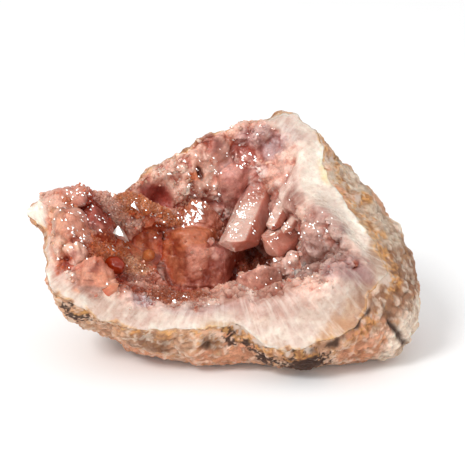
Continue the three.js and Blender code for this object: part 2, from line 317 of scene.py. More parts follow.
# Colours of the lining: right, up, spread right, spread up, turn, strength, colour
liningPatches = {
    "backWall": (-12, 24, 9, 6, -30, 1.2, (214, 166, 146)),
    "backLeft": (-21.5, 20.5, 3, 3, 0, 1.2, (206, 152, 130)),
    "roughPale": (-3.6, 23.5, 2, 5, 10, 1.3, (226, 182, 164)),
    "smoothRose": (-0.4, 27.4, 2.0, 4.2, 10, 1.3, (148, 86, 68)),
    "roseWall": (3.5, 21.5, 4.5, 5, 0, 1.2, (212, 160, 152)),
    "upperPink": (7, 31.5, 5, 2.6, 0, 1.1, (170, 124, 120)),
    "upperLilac": (12, 29, 4.5, 3.4, 0, 1.1, (172, 138, 136)),
    "topStep": (5, 27.4, 4, 2.4, 0, 1.0, (204, 146, 134)),
    "fibres": (15.5, 17, 5, 7, -20, 1.1, (218, 188, 174)),
    "besideSpear": (12, 16, 2.5, 6, -30, 1.0, (190, 138, 124)),
    "besideBroad": (16.5, 12.0, 2.6, 3, 0, 1.2, (166, 122, 108)),
    "shoulder": (26, 4, 5, 7, 0, 0.9, (180, 144, 132)),
    "greyNotch": (29.3, 1.2, 1.6, 1.2, 0, 1.6, (142, 110, 104)),
    "frontLilac": (21, -5, 11, 6.5, 0, 1.2, (144, 110, 100)),
    "frontRose": (12, -13, 5, 4, 0, 1.2, (168, 116, 98)),
    "frontDruse": (-12, -11, 8, 4, 0, 1.3, (146, 64, 30)),
    "frontPale": (-19.8, -14.8, 3.2, 1.9, 0, 1.4, (214, 184, 182)),
    "frontMiddle": (1, -13.5, 4.5, 3, 0, 1.1, (172, 122, 104)),
    "roundPit": (-17.4, 16.4, 3.2, 2.3, 0, 2.6, (160, 76, 66)),
    "sillLeft": (-13, 1, 3, 5, 0, 1.6, (140, 72, 54)), "sillTop": (-8, 5.8, 8.5, 2.5, 0, 2.2, (146, 62, 24)),
    "deepHollow": (7, 4.8, 5, 4, 0, 1.5, (166, 88, 64)),
    "holeStain": (-8, 22.3, 2.4, 0.7, 15, 1.8, (220, 126, 72)),
    # painted light: these three pale patches lift places that lie in shade
    "besideCrownPaintedLight": (-0.6, 18, 2.6, 3, 0, 1.7, (222, 180, 168)),
    "sillRightPaintedLight": (-1.2, 3.5, 2.4, 4, 0, 1.6, (236, 190, 176)),
    "frontPaintedLight": (17.4, -1.5, 2.8, 4, 0, 1.5, (228, 196, 184)),
    "lilacEdge": (28, -9.6, 4.5, 2.7, 0, 1.8, (160, 118, 112)),
    "shoulderRose": (22.5, 6, 3, 3, 0, 1.2, (172, 128, 116)),
    "behindSpear": (9.5, 12, 2, 3, 0, 1.2, (222, 178, 166)),
    "spearBack": (7.5, 22.5, 2.4, 3.5, 0, 1.3, (232, 196, 186)),
    "overCrown": (-5.5, 18.5, 3, 1.8, 0, 1.4, (206, 158, 142)),
    "emberFoot": (-23.5, -11.5, 3.5, 1.4, 0, 1.7, (136, 52, 24)),
    # painted shade: the hole is painted dark red-brown
    "hole": (-6.4, 23.2, 0.8, 1.3, 25, 1.5, (80, 24, 10)),
    "shelf": (-20, 11.4, 9, 2.6, -8, 1.6, (176, 92, 46)), "shelfEnd": (-9, 13, 4, 3, 0, 1.2, (176, 98, 62)),
    "midFloor": (-19, 5, 6, 5, 0, 1.3, (172, 76, 42)),
    # the pale gold of the floor, painted paler still to lift the shadow of the tall mirror crystal as painted
    # light
    "goldFloor": (-23.5, 1.5, 4, 4, 0, 1.6, (224, 156, 118)),
    "leftHollow": (-27.5, 4.5, 3, 3.5, 0, 1.4, (190, 100, 60)),
    "leftTop": (-36.5, 8.5, 3.5, 3, 0, 1.4, (196, 114, 82)),
    "leftDark": (-32.2, 6.5, 3.6, 4, 0, 1.6, (146, 36, 6)),
    "leftRim": (-41, 1, 2.2, 8, 0, 1.2, (194, 138, 110)),
    "leftRust": (-30, -1, 4, 3.5, 0, 1.4, (196, 96, 50)),
    "leftWhite": (-37, -4, 3, 2, 0, 1.3, (208, 152, 118)),
    "leftFront": (-33, -12, 5, 3.6, 0, 1.2, (166, 112, 92)),
    "emberBed": (-27, -6, 3.4, 3.4, 0, 1.6, (154, 40, 4)),
    "orangeEdge": (-42.4, 3.3, 1.4, 3, -30, 1.0, (210, 136, 100)),
    "orangeVein": (-38.4, -7.6, 3.2, 1.4, 40, 2.0, (172, 74, 38)),
    "orangeFoot": (-36.3, -14.6, 1.8, 0.9, 0, 1.5, (222, 140, 96)),
    "orangeFront": (-28.5, -12.2, 2.6, 1.4, -20, 1.9, (198, 124, 92)),
    "orangeSide": (-30.6, -5.4, 0.9, 2.6, 10, 1.6, (192, 88, 48)),
    "orangeTop": (-38.3, 10.6, 3.0, 1.8, 0, 1.6, (176, 96, 72)),
}

# and of the band
bandPatches = {
    "creamUpper": (22, 20, 5, 8, 10, 1.4, (234, 220, 204)),
    "roseUpper": (15, 31, 5, 4, 0, 1.3, (186, 158, 148)),
    "ochreUpper": (25, 20, 1.6, 4, 10, 1.0, (236, 208, 160)),
    "creamRight": (32, 2, 4, 8, 15, 1.2, (240, 222, 206)),
    "pinkFront": (12, -17.4, 8, 3, 0, 1.3, (190, 150, 136)),
    "pinkMiddle": (1, -15.7, 5, 2.0, 0, 1.1, (182, 140, 128)),
    "orangeStain": (-28.5, -12.8, 2.4, 1.6, 0, 2.2, (196, 126, 94)),
    "ochreFront": (31, -19.5, 5, 4.2, 30, 1.5, (186, 142, 112)),
    "ochreLow": (27, -23, 4.5, 3, 25, 1.8, (194, 144, 106)),
    "ochreEdge": (35, -14.5, 3.2, 4.2, 0, 1.9, (154, 110, 82)),
    "edgeTan": (-1, -21.6, 4, 1.4, 0, 1.6, (190, 150, 120)),
    "greyRight": (37.5, -5.5, 2.8, 5, 0, 1.6, (172, 138, 118)),
    "ochreRight": (37, -1, 2.0, 3.4, 20, 1.8, (168, 124, 90)),
    "lilacRight": (30, -9.3, 5.5, 2.4, -8, 1.6, (166, 126, 120)),
    "pinkLeft": (-40.5, -9.5, 2.4, 3, 0, 1.3, (186, 140, 124)),
    "leftTip": (-47.5, 7.6, 3.2, 3.2, 0, 2.2, (250, 238, 220)),
    "greyFront": (-9, -16.7, 11, 2.1, 0, 1.3, (178, 146, 138)),
    "greyLeft": (-26, -18, 8, 3, -10, 1.2, (196, 166, 150)),
}

# Where fine rusty crystals cover the lining, where it is bare and smooth, where its
# crevices are stained orange, where chips of crystal flash white, and its one hole:
# right, up, spread right, spread up, turn, strength
rustZones = {
    "shelf": (-20, 12.2, 9, 2.2, -8, 1.5), "shelfEnd": (-11, 13.6, 4, 2, 0, 0.9),
    "frontDruse": (-12, -11, 8, 4, 0, 1.4), "leftHollow": (-29, -1.5, 4, 4, 0, 1.3),
    "leftTop": (-29, 10, 4, 2.5, 0, 1.1), "bead": (-23, -2, 4, 4, 0, 1.1),
}
bareZones = {
    "roundPit": (-17.4, 16.3, 3.6, 2.8, 0, 2.4), "smoothRose": (-1, 28, 2.2, 4.5, 10, 1.3),
    "roseWall": (4, 21, 4, 4, 0, 1.0), "midFloor": (-18, 5, 7, 4, 0, 1.2),
    "upperLilac": (12, 28, 3.5, 3, 0, 0.8), "leftDark": (-31.5, 8, 2.4, 2.8, 0, 1.3),
    "fibres": (16, 17, 5, 8, -20, 1.0), "hole": (-6.4, 23.2, 2.6, 2.6, 0, 1.8),
}
stainZones = {
    "left": (-33, -2, 8, 12, 0, 1.5), "shelf": (-20, 9, 12, 8, -8, 1.2), "front": (-12, -9, 10, 6, 0, 1.2),
    "hole": (-8, 21.6, 2.6, 1.5, 15, 1.0),
}
flashZones = {
    "crown": (-7.2, 13.5, 3.4, 3.4, 0, 3), "backWall": (-12, 24, 9, 5, -30, 0.8),
    "steps": (5.5, 27, 3.6, 1.8, 0, 1.6), "topEdge": (5, 32, 6, 1.5, 0, 0.5),
    "spearSide": (5.0, 12, 3.0, 9, -28, 2.2), "besideSpear": (12, 15, 2.5, 5, -20, 1.0),
    "broadTip": (12, 6, 2, 2.4, 0, 1.4), "threshold": (9, -4, 4.5, 1.4, 0, 1.0),
    "knuckles": (20, 2, 5, 4, 0, 1.0), "shelf": (-22, 9, 7, 3.4, -8, 0.6), "left": (-34, 6, 7, 5, 0, 0.7),
    "leftLow": (-36, -5, 5, 4, 0, 0.35), "front": (-14, -12, 9, 3, 0, 0.8),
    "frontRight": (20, -9, 8, 4, 0, 0.25),
}
pitZones = {"hole": (-6.4, 23.4, 0.8, 1.4, 25, -1.4)}   # how far in it goes, in mm


def zoneMask(zones, right, up, ragged):   # 1 well inside any zone, with a ragged edge
    return smoothStep(0.3, 0.75, zoneSum(zones, right, up) + 0.3 * ragged)


def mixTint(colour, tint, share):   # colour + (tint - colour) * share
    return colour + (tint - colour) * share[..., None]


def layered(colour, layers):   # tints laid over a colour one after another, each by its share
    for key, share in layers:
        colour = mixTint(colour, tints[key], share)
    return colour


def bandInward(rimDistance, bandWidth):
    # distance from the rim in widths of the band; where the band is thin the
    # crystals reach the rim, so it starts well above 1
    return rimDistance / bandWidth + 1.4 * (1 - smoothStep(2.2, 3.6, bandWidth))


def liningPaint(points, inward):
    # cream on the band, then pale rose, then rose, darker with depth into the
    # hollow as painted shade, and the patches over it
    right, up, out = toFace(points)
    ragged = roughNoise(points, "ragged")
    colour = layered(tints["cream"] + 0 * points, (
        ("paleRose", smoothStep(0.65, 1.35, inward + 0.4 * ragged)),
        ("bandPink", 0.6 * smoothStep(-0.2, 0.6, roughNoise(points, "blotch"))),
        ("chalk", 0.3 * smoothStep(0.6, 0.1, inward + 0.3 * ragged)),
        ("rose", smoothStep(1.2, 2.3, inward + 0.5 * ragged)),
        # painted shade: deeper rose and then mahogany further down into the hollow
        ("deepRose", smoothStep(-7, -15, out + 2 * ragged)),
        ("mahogany", smoothStep(-14, -22, out + 2 * ragged)),
    ))
    onBand = smoothStep(0.5, 1.1, inward + 0.2 * ragged)
    for patches, low, high, wander, cover in (
        (bandPatches, 0.2, 0.9, 0.3, 0.85 * smoothStep(1.8, 0.9, inward)),
        (liningPatches, 0.25, 0.8, 0.28, 0.9 * onBand),
    ):
        for *zone, tone in patches.values():
            share = smoothStep(low, high, swellOf(zone, right, up) + wander * ragged)
            colour = mixTint(colour, linear(tone), cover * share)
    return colour * (1 + 0.14 * roughNoise(points, "mottle") * (0.4 + 0.6 * onBand))[..., None]


# Painted light and shade: sides facing the way are painted paler, those turned from it darker
paintedLightSides = {
    "way": (-0.5, -0.35, 0.8),
    "turned": (-0.5, 0.95),    # cosines to the way: fully shaded, fully lit
    "deepen": 0.25,            # power of the deep sides, above 1
    "darken": 0.08,
    "lighten": 0.1,
}


def paintSideLight(paint, normals, strength):
    # painted light: sides towards the upper left are painted paler, paint * (1 + lighten),
    # and those turned away get painted shade, paint^(1 + deepen) * (1 - darken)
    side = smoothStep(*paintedLightSides["turned"], normals @ unit(np.array(paintedLightSides["way"])))[..., None]
    strength = strength[..., None]
    deep = paint ** (1 + paintedLightSides["deepen"] * strength) * (1 - paintedLightSides["darken"] * strength)
    return deep + (paint * (1 + paintedLightSides["lighten"] * strength) - deep) * side


def flashShare(points):   # how thickly the flashing chips lie
    total = zoneSum(flashZones, *toFace(points)[:2])
    return np.clip(total * smoothStep(-0.1, 0.7, roughNoise(points, "flash") + 0.3 * total), 0, 1.2)


def addPiece(name, points, faces, attributes, slot, smooth):   # attributes hold a value for each point
    mesh = bpy.data.meshes.new(name)
    mesh.from_pydata((points * mm).tolist(), [], faces)
    for key, values in attributes.items():
        values = np.ascontiguousarray(values, np.float32)
        kind, field = ("FLOAT", "value") if values.ndim == 1 else ("FLOAT_VECTOR", "vector")
        mesh.attributes.new(key, kind, "POINT").data.foreach_set(field, values.ravel())
    mesh.polygons.foreach_set("use_smooth", np.full(len(faces), smooth))
    mesh.update()
    piece = addObject(name, mesh)
    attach(piece, "root")
    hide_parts("geode")
    print(f"geode: {name} has {sum(len(corners) - 2 for corners in faces)} triangles")
    return piece


def gridNormals(grid):   # cross product of the two directions of a grid closed along its columns
    return unit(np.cross(np.roll(grid, -1, -2) - np.roll(grid, 1, -2), np.gradient(grid, axis=-3)))


def ringFaces(rows, columns):
    # quads between rings, and a fan at each end to the two poles, which come last
    index = np.arange(rows * columns).reshape(rows, columns)
    ahead = np.roll(index, -1, 1)
    quads = np.stack([index[:-1], ahead[:-1], ahead[1:], index[1:]], -1).reshape(-1, 4)
    firstPole = np.full(columns, rows * columns)
    startFan = np.stack([firstPole, ahead[0], index[0]], -1)
    endFan = np.stack([index[-1], ahead[-1], firstPole + 1], -1)
    return quads.tolist() + startFan.tolist() + endFan.tolist()


def addRings(name, shaped, hidden, masks, tint, slot, hiddenFirst):
    # a closed skin of the rings that are seen and those of the hidden back, with
    # a pole at each end; the seen ones are smooth
    join = lambda seen, unseen: np.concatenate([unseen[::-1], seen] if hiddenFirst else [seen, unseen])
    grid, soft = join(shaped, hidden), join(np.ones(len(shaped), bool), np.zeros(len(hidden), bool))
    soft[len(shaped) - 1] = hiddenFirst
    attributes = {}
    for key, values in masks.items():
        fill = np.zeros(hidden.shape[:2] + values.shape[2:]) + (tints[tint] if key == "paint" else 0)
        rings = join(values, fill)
        attributes[key] = np.concatenate([rings.reshape(-1, *rings.shape[2:]), rings[[0, -1], 0]])
    points = np.concatenate([grid.reshape(-1, 3), grid[[0, -1]].mean(1)])
    softFaces = np.repeat(np.append(soft[:-1], soft[[0, -1]]), grid.shape[1])
    return addPiece(name, points, ringFaces(*grid.shape[:2]), attributes, slot, softFaces)


rimForm = {
    "wander": 0.7,             # mm that the rim strays sideways
    "blunt": 0.5,              # mm taken off the edge
    "reach": 1.6,
    "calm": 1.0,               # mm from the rim where the relief has faded in
}


def rimOutward(turn):   # unit vectors from the pole of the hollow to the rim
    return unit(rimAway(turn)) @ faceAxes[:2]


def shapeRim(grid, turns, rimDistance):
    # both skins near the rim: pushed sideways by noise, and drawn back to blunt
    # the edge by blunt * exp(-(distance / reach)^2)
    near = np.exp(-((rimDistance / rimForm["reach"]) ** 2))
    rim, outward = rimAt(turns), rimOutward(turns)
    edge = toWorld(rim[..., 0], rim[..., 1], rim[..., 2])
    wander = rimForm["wander"] * roughNoise(edge, "rimWander")
    blunt = rimForm["blunt"] * (1 - 0.9 * smoothStep(0, 6, rim[..., 4]))
    return grid + outward * (near * (wander - blunt))[..., None] - faceAxes[2] * (near * blunt)[..., None]


rind = {
    "columns": 620,
    "rows": 146,
    "hiddenRows": 6,
    "hiddenDepth": 3.5,        # mm from the rind to its hidden back
    "knobs": (9, 3),           # mm across the biggest lumps, and seed
    "knobHeight": 2.0,
    "lumps": (3.2, 7),
    "lumpHeight": 0.8,
    "creaseDepth": 0.35,
    "creaseWidth": 0.22,       # share of a lump
    "chips": (2.2, 0.45, 0.55, 13),    # size, height, steepness, seed
    "grains": (1.25, 83),
    "grainHeight": 0.36,
    "gapWidth": 0.25,          # share of a grain
    "gritHeight": 0.2,
    "pits": (1.9, 19),
    "pitDepth": 0.3,
    "seamDepth": 0.9,
    "seamWidth": 0.5,
    "seamWobble": 0.7,
    "bend": 1.2,               # mm that the lumps are bent by
    "rimInset": 1.7,           # mm from the rim to the hidden back, sideways
    "rimDrop": 2.4,            # and behind it
    "bandSpill": -0.3,         # mm of the pale band that shows outside the rim
}

# Lumps of the rind: x, y, z, spread, rise
rindLumps = {
    "rightKnob": (44, -17, 13, 6, 2.6), "rightBump": (44, 3, 29, 2.6, 1.6),
    "chalkBump": (38, -5, 32.5, 2.2, 1.0), "chalkBumpTwo": (36, 0, 36, 2.0, 0.9),
    "leftKnob": (-37.5, -20, 15.5, 3.6, 2.4), "leftNotch": (-33, -22, 13, 1.8, -1.8),
    "frontHeel": (6, -25, 6, 7, 1.2), "underLedge": (20, -26, 6, 6, 1.4), "lowLeft": (-20, -24, 9, 6, 1.0),
}

# Stains of the rind: x, y, z, spread, strength, tint
rindPatches = {
    "frontPink": (-2, -24, 6, 9, 1.2, "pinkRock"), "rightPink": (34, -22, 9, 9, 1.4, "pinkRock"),
    "rightKnobPale": (45.5, -15, 9.5, 6.5, 2.6, "rockCream"),
    "rightBrown": (37.5, -18, 17.5, 4.2, 2.0, "brownRock"),
    "rightBrownTwo": (39.8, -14.5, 19.8, 4.5, 2.6, "brownRock"),
    "rightLow": (40, -19, 3, 4, 1.5, "rockCream"), "leftBrown": (-18, -24, 9, 5, 1.5, "brownRock"),
    "rightEdge": (44, -8, 25, 9, 2.2, "brownRock"), "upperGrey": (31, 7, 43, 7, 1.4, "greyRock"),
    "upperCream": (33, 5, 40, 5, 1.3, "greyRock"), "upperChalk": (38, -4, 33, 7, 1.8, "greyRock"),
    "bumpChalk": (44, 3, 29, 3, 1.4, "rockCream"), "edgeOchre": (35, 2, 37, 2.2, 1.3, "ochre"),
    "edgeOchreTwo": (37, -12, 24, 2.5, 1.2, "ochre"), "frontDark": (2, -25, 12.5, 3.6, 0.9, "manganese"),
    "frontDarkTwo": (8, -25, 10, 3.0, 1.1, "manganese"), "underDark": (10, -25, 5.5, 2.6, 1.4, "manganese"),
    "underDarkTwo": (19, -26, 5.5, 4.8, 2.6, "manganese"),
    "underDarkThree": (20, -27, 6.5, 3.0, 2.0, "manganese"),
    "frontBrown": (-3.5, -26, 10, 3, 1.4, "brownRock"), "leftDark": (-38, -22, 16.5, 2.4, 1.5, "manganese"),
    "leftDarkTwo": (-35, -22, 14.3, 2.6, 1.4, "manganese"), "behindGrey": (-10, 22, 22, 16, 1.0, "greyRock"),
    "behindDark": (20, 24, 16, 7, 0.8, "manganese"),
}

# Cracks filled with dark mineral: points along each, in the frame of the stone
rindSeams = {
    "frontRight": ((36, -21, 19), (34.3, -22, 16.8), (31.5, -24.5, 14), (26, -26.8, 11), (20, -28, 9.5)),
    "knob": ((38.5, -20.5, 18.5), (39.5, -21, 13.5), (42, -18.5, 8), (44, -14.5, 4.5)),
    "lower": ((-20, -25, 8.5), (-12, -25.5, 7.5), (-4, -25.5, 9)),
}


def lineDistance(points, start, end):   # distance to the straight line between two places
    line = end - start
    share = np.clip((points - start) @ line / (line @ line), 0, 1)
    return np.linalg.norm(points - start - share[..., None] * line, axis=-1)


def seamDistance(points, seam):   # distance to the nearest of its straight parts
    places = np.array(seam, float)
    return np.minimum.reduce([lineDistance(points, *ends) for ends in zip(places, places[1:])])


def lumpOf(lump, points):   # strength * exp(-(distance / spread)^2)
    return lump[4] * np.exp(-np.sum((points - np.array(lump[:3])) ** 2, -1) / lump[3] ** 2)


def hiddenBack(turn, rows, depth):
    # the outer skin set inwards, which closes a piece where nothing sees it
    turns, drops = np.meshgrid(turn, np.linspace(0, 1, rows + 1)[:-1] ** 1.5)
    inset = rind["rimInset"] + (depth - rind["rimInset"]) * smoothStep(0, 0.4, drops)
    grid = outerSkin(turns, drops) - rimOutward(turns) * (inset * (1 - drops))[..., None]
    grid -= faceAxes[2] * (rind["rimDrop"] * (1 - drops) - depth * drops)[..., None]
    grid[..., 2] = np.maximum(grid[..., 2], depth)
    return grid


def rindPaint(points, rimDistance, low, kind):
    # tan rock mottled with pale, rusty and brown grains, stained by the patches, and
    # painted darker umber in its creases, pits and grain gaps as painted shade; cream
    # and then a ragged ochre line where the band reaches over the rim
    ragged = roughNoise(points, "rockEdge")
    fine = roughNoise(points, "rockFine")
    specks = roughNoise(points, "rockSpecks") + 0.5 * ragged
    stains, specked = [], []
    for *patch, tint in rindPatches.values():
        here = lumpOf(patch, points)
        if tint == "manganese":
            share = 0.95 * smoothStep(0.0, 0.15, 0.8 * here - 0.45 + np.minimum(1, 2 * here) * specks)
            specked.append((tint, share))
        else:
            stains.append((tint, smoothStep(0.25, 0.75, here + 0.4 * ragged - 0.1)))
    spill = rind["bandSpill"] + 1.5 * roughNoise(points, "spill") + 0.6 * fine
    line = 1 - smoothStep(0.2, 1.1, np.abs(rimDistance - spill - 0.6))
    colour = layered(tints["tan"] + 0 * points, (
        ("pinkRock", smoothStep(-0.3, 0.5, roughNoise(points, "rockBroad"))), *stains,
        ("rockCream", 0.45 * smoothStep(0.6, 0.7, kind)),
        ("ochre", 0.25 * smoothStep(0.3, 0.22, kind) * smoothStep(0.1, 0.15, kind)),
        ("umber", 0.35 * smoothStep(0.14, 0.08, kind)),
        # painted shade: umber in the low places, the creases, pits and gaps
        ("umber", 0.4 * smoothStep(0.4, 1.0, low + 0.4 * ragged)), *specked,
        ("ochre", 0.8 * line * smoothStep(-0.2, 0.3, ragged + fine)),
        ("umber", 0.8 * line * smoothStep(0.35, 0.6, fine + 0.3 * ragged)),
    ))
    pale = 1 - smoothStep(-0.5, 0.3, rimDistance - spill)
    colour = colour * (1 + 0.16 * roughNoise(points, "rockTone"))[..., None]
    return mixTint(colour, tints["cream"], pale), pale


def buildRind(settings):   # the outer skin pushed out along its normals by the height of its relief
    turn = np.arange(settings["columns"]) / settings["columns"]
    drops = (1 - np.linspace(0, 1, settings["rows"] + 1)[1:]) ** 1.4
    turns, drops = np.meshgrid(turn, drops)
    grid = outerSkin(turns, drops)
    rimDistance = drops * np.linalg.norm(rimAway(turns), axis=-1)

    # big and small rounded lumps with creases between them, chips, grit and pits
    bend = settings["bend"] * np.stack([roughNoise(grid, name) for name in ("bendX", "bendY", "bendZ")], -1)
    knobs, lumps, pitCells, grains = (
        cellNoise(grid + bend, *settings[kind]) for kind in ("knobs", "lumps", "pits", "grains"))
    near, _, own = knobs
    height = settings["knobHeight"] * ((1 - near) * (0.5 + 0.8 * own) - 0.35)
    height += facetRelief(grid, settings["chips"])
    near, second, own = lumps
    height += settings["lumpHeight"] * ((1 - near) * (0.5 + own) - 0.4)
    crease = 1 - smoothStep(0, settings["creaseWidth"], second - near)
    crease = crease * smoothStep(-0.3, 0.5, roughNoise(grid, "creased"))
    near, _, own = pitCells
    pits = (1 - smoothStep(0.1, 0.6, near)) * smoothStep(0.6, 0.85, own)
    pits *= smoothStep(0, 0.5, roughNoise(grid, "pitted"))
    near, second, kind = grains
    gaps = 1 - smoothStep(0, settings["gapWidth"], second - near)
    grit = roughNoise(grid, "grit")
    height += settings["grainHeight"] * (0.6 - near - 0.5 * gaps) + settings["gritHeight"] * grit
    height -= settings["pitDepth"] * pits + settings["creaseDepth"] * crease
    height += sum(lumpOf(lump, grid) for lump in rindLumps.values())
    wobble = settings["seamWobble"] * roughNoise(grid, "seamWobble")
    seam = np.minimum.reduce([seamDistance(grid, line) for line in rindSeams.values()]) + wobble
    seam = np.clip(seam, 0, None) ** 2
    height -= settings["seamDepth"] * np.exp(-seam / settings["seamWidth"] ** 2)

    height *= smoothStep(0, rimForm["calm"], rimDistance)
    shaped = wornFlat(shapeRim(grid + gridNormals(grid) * height[..., None], turns, rimDistance))
    shaped[..., 2] = np.maximum(shaped[..., 2], 0)
    paint, pale = rindPaint(shaped, rimDistance, crease + pits + 0.8 * gaps, kind)
    masks = {
        "paint": mixTint(paint, tints["manganese"], np.exp(-seam / 0.3) * 0.95),
        # low: where the creases and pits take painted shade
        "low": np.clip(pits + 0.6 * crease - grit * 0.4, 0, 1), "pale": pale,
    }
    hidden = hiddenBack(turn, settings["hiddenRows"], settings["hiddenDepth"])
    return addRings("rind", shaped, hidden, masks, "tan", "quartz_rock", False)


rindPiece = buildRind(rind)

lining = {
    "columns": 620,
    "rows": 146,
    "hiddenRows": 5,
    "blocks": (7, 0.75, 0.7, 101),     # broken crystals of the bed: size, height, steepness, seed
    "facets": (2.8, 0.8, 1.0, 113),
    "grains": (1.1, 0.34, 1.0, 127),
    "chips": (2.6, 0.12, 0.7, 149),
    "fibreHeight": 0.12,
    "collarDepth": 0.3,        # furrow round each large crystal
    "collarWidth": 1.4,
    "hiddenDepth": 3,
    "blur": 40,                # rounds of smoothing that tell ridges from crevices
    "frost": 0.25,             # painted highlight: how pale the ridges are painted
    "creviceStainAndShade": 0.55,             # painted shade: how dark the crevices are painted
}

crystalForm = {
    "pyramidSlope": 1.27,      # height of the end for each mm of half width
    "smallFaceShare": 0.27,    # how far every second end face starts higher
    "level": 0.02,             # a plane whose normal points out by less is upright
    "fall": 1.5,               # how steeply the bed drops beyond a crystal's outline
}


def crystalAxes(root, tip):   # unit vectors along each crystal, to its side and to its open side
    along = unit(tip - root)
    side = unit(np.cross(np.array([0, 0, 1.0]), along))
    return along, side, np.cross(along, side)


# The large crystals: root, tip, radius to a long edge, twist in degrees, flatness,
# slant of the end towards the side and towards the open side, slope of the end
# faces, rounding of the edges, tint, pale tint painted on the left sides as painted
# light. These stand free of the bed
freeCrystals = {
    "spear": ((10.5, 25.5, -16), (2.4, 1.2, -6.8), 4.9, 5, 0.9, (-0.4, 0.7), 0.75, 0.1, "spearRose", "frost"),
    "spearSide": ((16.8, 21, -9.5), (11.6, 6.2, -4.8), 2.3, 15, 0.9,
                  (-0.3, 0.6), 0.9, 0.15, "spearRose", "frost"),
    "broad": ((20.5, 12.5, -11), (10.2, 1.1, -7.2), 4.5, 40, 0.85,
              (0.2, 0.6), 0.6, 0.25, "spearRose", "rose"),
    "splinter": ((19.4, 12.6, -6), (14.4, 4.4, -2.6), 1.4, 0, 0.9, (-0.3, 0.4), 1.2, 0.1, "rose", "frost"),
    "bead": ((-19.4, 4.2, -15.5), (-19.4, 1.6, -9.6), 1.9, 0, 1, (0, 0), 0.7, 0.5, "amber", "amber"),
    "ember": ((-27.5, -2, -8), (-27.2, -5.4, -0.5), 3.0, 10, 0.9, (0.2, 0.1), 0.5, 0.45, "ember", "ember"),
}

# and these are grown into it
grownCrystals = {
    "knuckle": ((27, -2.5, -3), (19, 4.6, 2), 4.2, 10, 0.9, (0.1, 0.1), 1.27, 0.25, "lilac"),
    "knuckleTwo": ((28, 1.5, -2), (23, 4.9, 3.4), 3, 30, 0.9, (0, 0), 1.27, 0.25, "lilac"),
    "ridge": ((18, -4.5, -11), (16.2, 1.6, -5), 3.2, 10, 0.9, (0, 0.2), 1.27, 0.25, "paleRose"),
    "ridgeTwo": ((15, -5.5, -13), (13.6, 0.2, -6.5), 2.6, 30, 0.9, (0, 0.2), 1.27, 0.25, "rose"),
    "threshold": ((9.5, -13, -16), (8.5, -3.4, -5.6), 6.2, 25, 0.9, (0, 0.9), 0.5, 0.45, "blockRose"),
    "sill": ((-5.5, -4.5, -25.5), (-5.5, 8.2, -14), 10.3, 8, 0.87, (0, 0.28), 0.12, 1.5, "sillRose"),
    "saddle": ((-9, -4, -21), (-9, 10.5, -10), 7, 15, 0.85, (0, 0.3), 0.3, 1.3, "shelfRed"),
    "crown": ((-7.5, 10, -20), (-6.3, 14.5, -6), 6, 10, 0.9, (0.1, 0.1), 1.27, 0.3, "deepRose"),
    "shelfFace": ((-18.8, 3.4, -20.2), (-18.8, 14, -10.8), 7, 30, 0.87, (0, 0.5), 0.5, 0.6, "shelfRed"),
    "leftBlock": ((-33, 3, -4), (-32, 7.8, 6.5), 4.6, 20, 0.95, (0.1, 0.2), 1.27, 0.25, "wine"),
    "leftPale": ((-39, -1, 0), (-37.5, 3, 11.5), 4.2, 0, 0.9, (0, 0.1), 1.27, 0.3, "salmon"),
    "leftWhite": ((-37, -6.5, 0), (-35.5, -2.8, 9), 3, 30, 0.9, (0, 0.2), 1.27, 0.3, "paleRose"),
    "leftPeak": ((-32, -15, -3), (-30.8, -6.3, 8.5), 5.2, 0, 0.9, (0.1, 0), 1.27, 0.3, "salmon"),
    "columnTwo": ((3, 20, -18), (1.5, 26.5, -6.5), 5.2, 40, 0.8, (0, 0.4), 0.8, 0.5, "deepRose"),
}


def softLeast(values, rounding):   # like the least of the values, but rounded where two are close
    least = values.min(0)
    return least - rounding * np.log(np.exp(np.maximum(least - values, -40 * rounding) / rounding).sum(0))


def crystalTop(right, up, crystal):
    # how far out the surface of a crystal lies: the least of its six sides and six
    # end faces, each a plane, and falling away steeply beyond its outline
    root, tip, radius, twist, flatness, slant, slope, rounding, _ = crystal
    root, tip = np.array(root, float), np.array(tip, float)
    along, side, front = crystalAxes(root, tip)
    c, s = math.cos(math.radians(twist)), math.sin(math.radians(twist))
    first = side * c + front * s / flatness
    other = front * c / flatness - side * s
    axis = along - slant[0] * side - slant[1] * front
    length = np.linalg.norm(tip - root)
    flat = radius * math.cos(math.pi / 6)
    cut = crystalForm["smallFaceShare"] * slope * flat * 0.5
    planes = [(-axis, 0.0)]
    for k in range(6):
        turn = math.radians(30 + 60 * k)
        outward = math.cos(turn) * first + math.sin(turn) * other
        planes += [(outward, flat), (slope * outward + axis, length + cut * (k % 2))]
    above, below, level = [], [np.full(right.shape, -99.0)], crystalForm["level"]
    for normal, limit in planes:
        left = limit - normal[0] * (right - root[0]) - normal[1] * (up - root[1])
        if normal[2] > level:
            above.append(left / normal[2])
        else:
            below.append(left / normal[2] if normal[2] < -level else -left / level)
    top = softLeast(np.stack(above), rounding)
    return root[2] + top + crystalForm["fall"] * np.minimum(0, top - np.max(below, axis=0))


def growCrystals(right, up, out):   # the bed with the grown crystals, their share, tint and smoothness
    grown, own, best, calm = out, np.zeros(out.shape), np.zeros((*out.shape, 3)), np.zeros(out.shape)
    for crystal in grownCrystals.values():
        top = crystalTop(right, up, crystal)
        ahead = smoothStep(-0.3, 0.5, top - grown)
        best = mixTint(best, tints[crystal[8]], ahead)
        covered = smoothStep(-1.2, 0.5, top - grown)
        own, calm = np.maximum(own, covered), np.maximum(calm, covered * smoothStep(0, 0.5, crystal[7]))
        grown = -softLeast(np.stack([-grown, -top]), 0.2 + crystal[7])
    return grown, own, best, calm


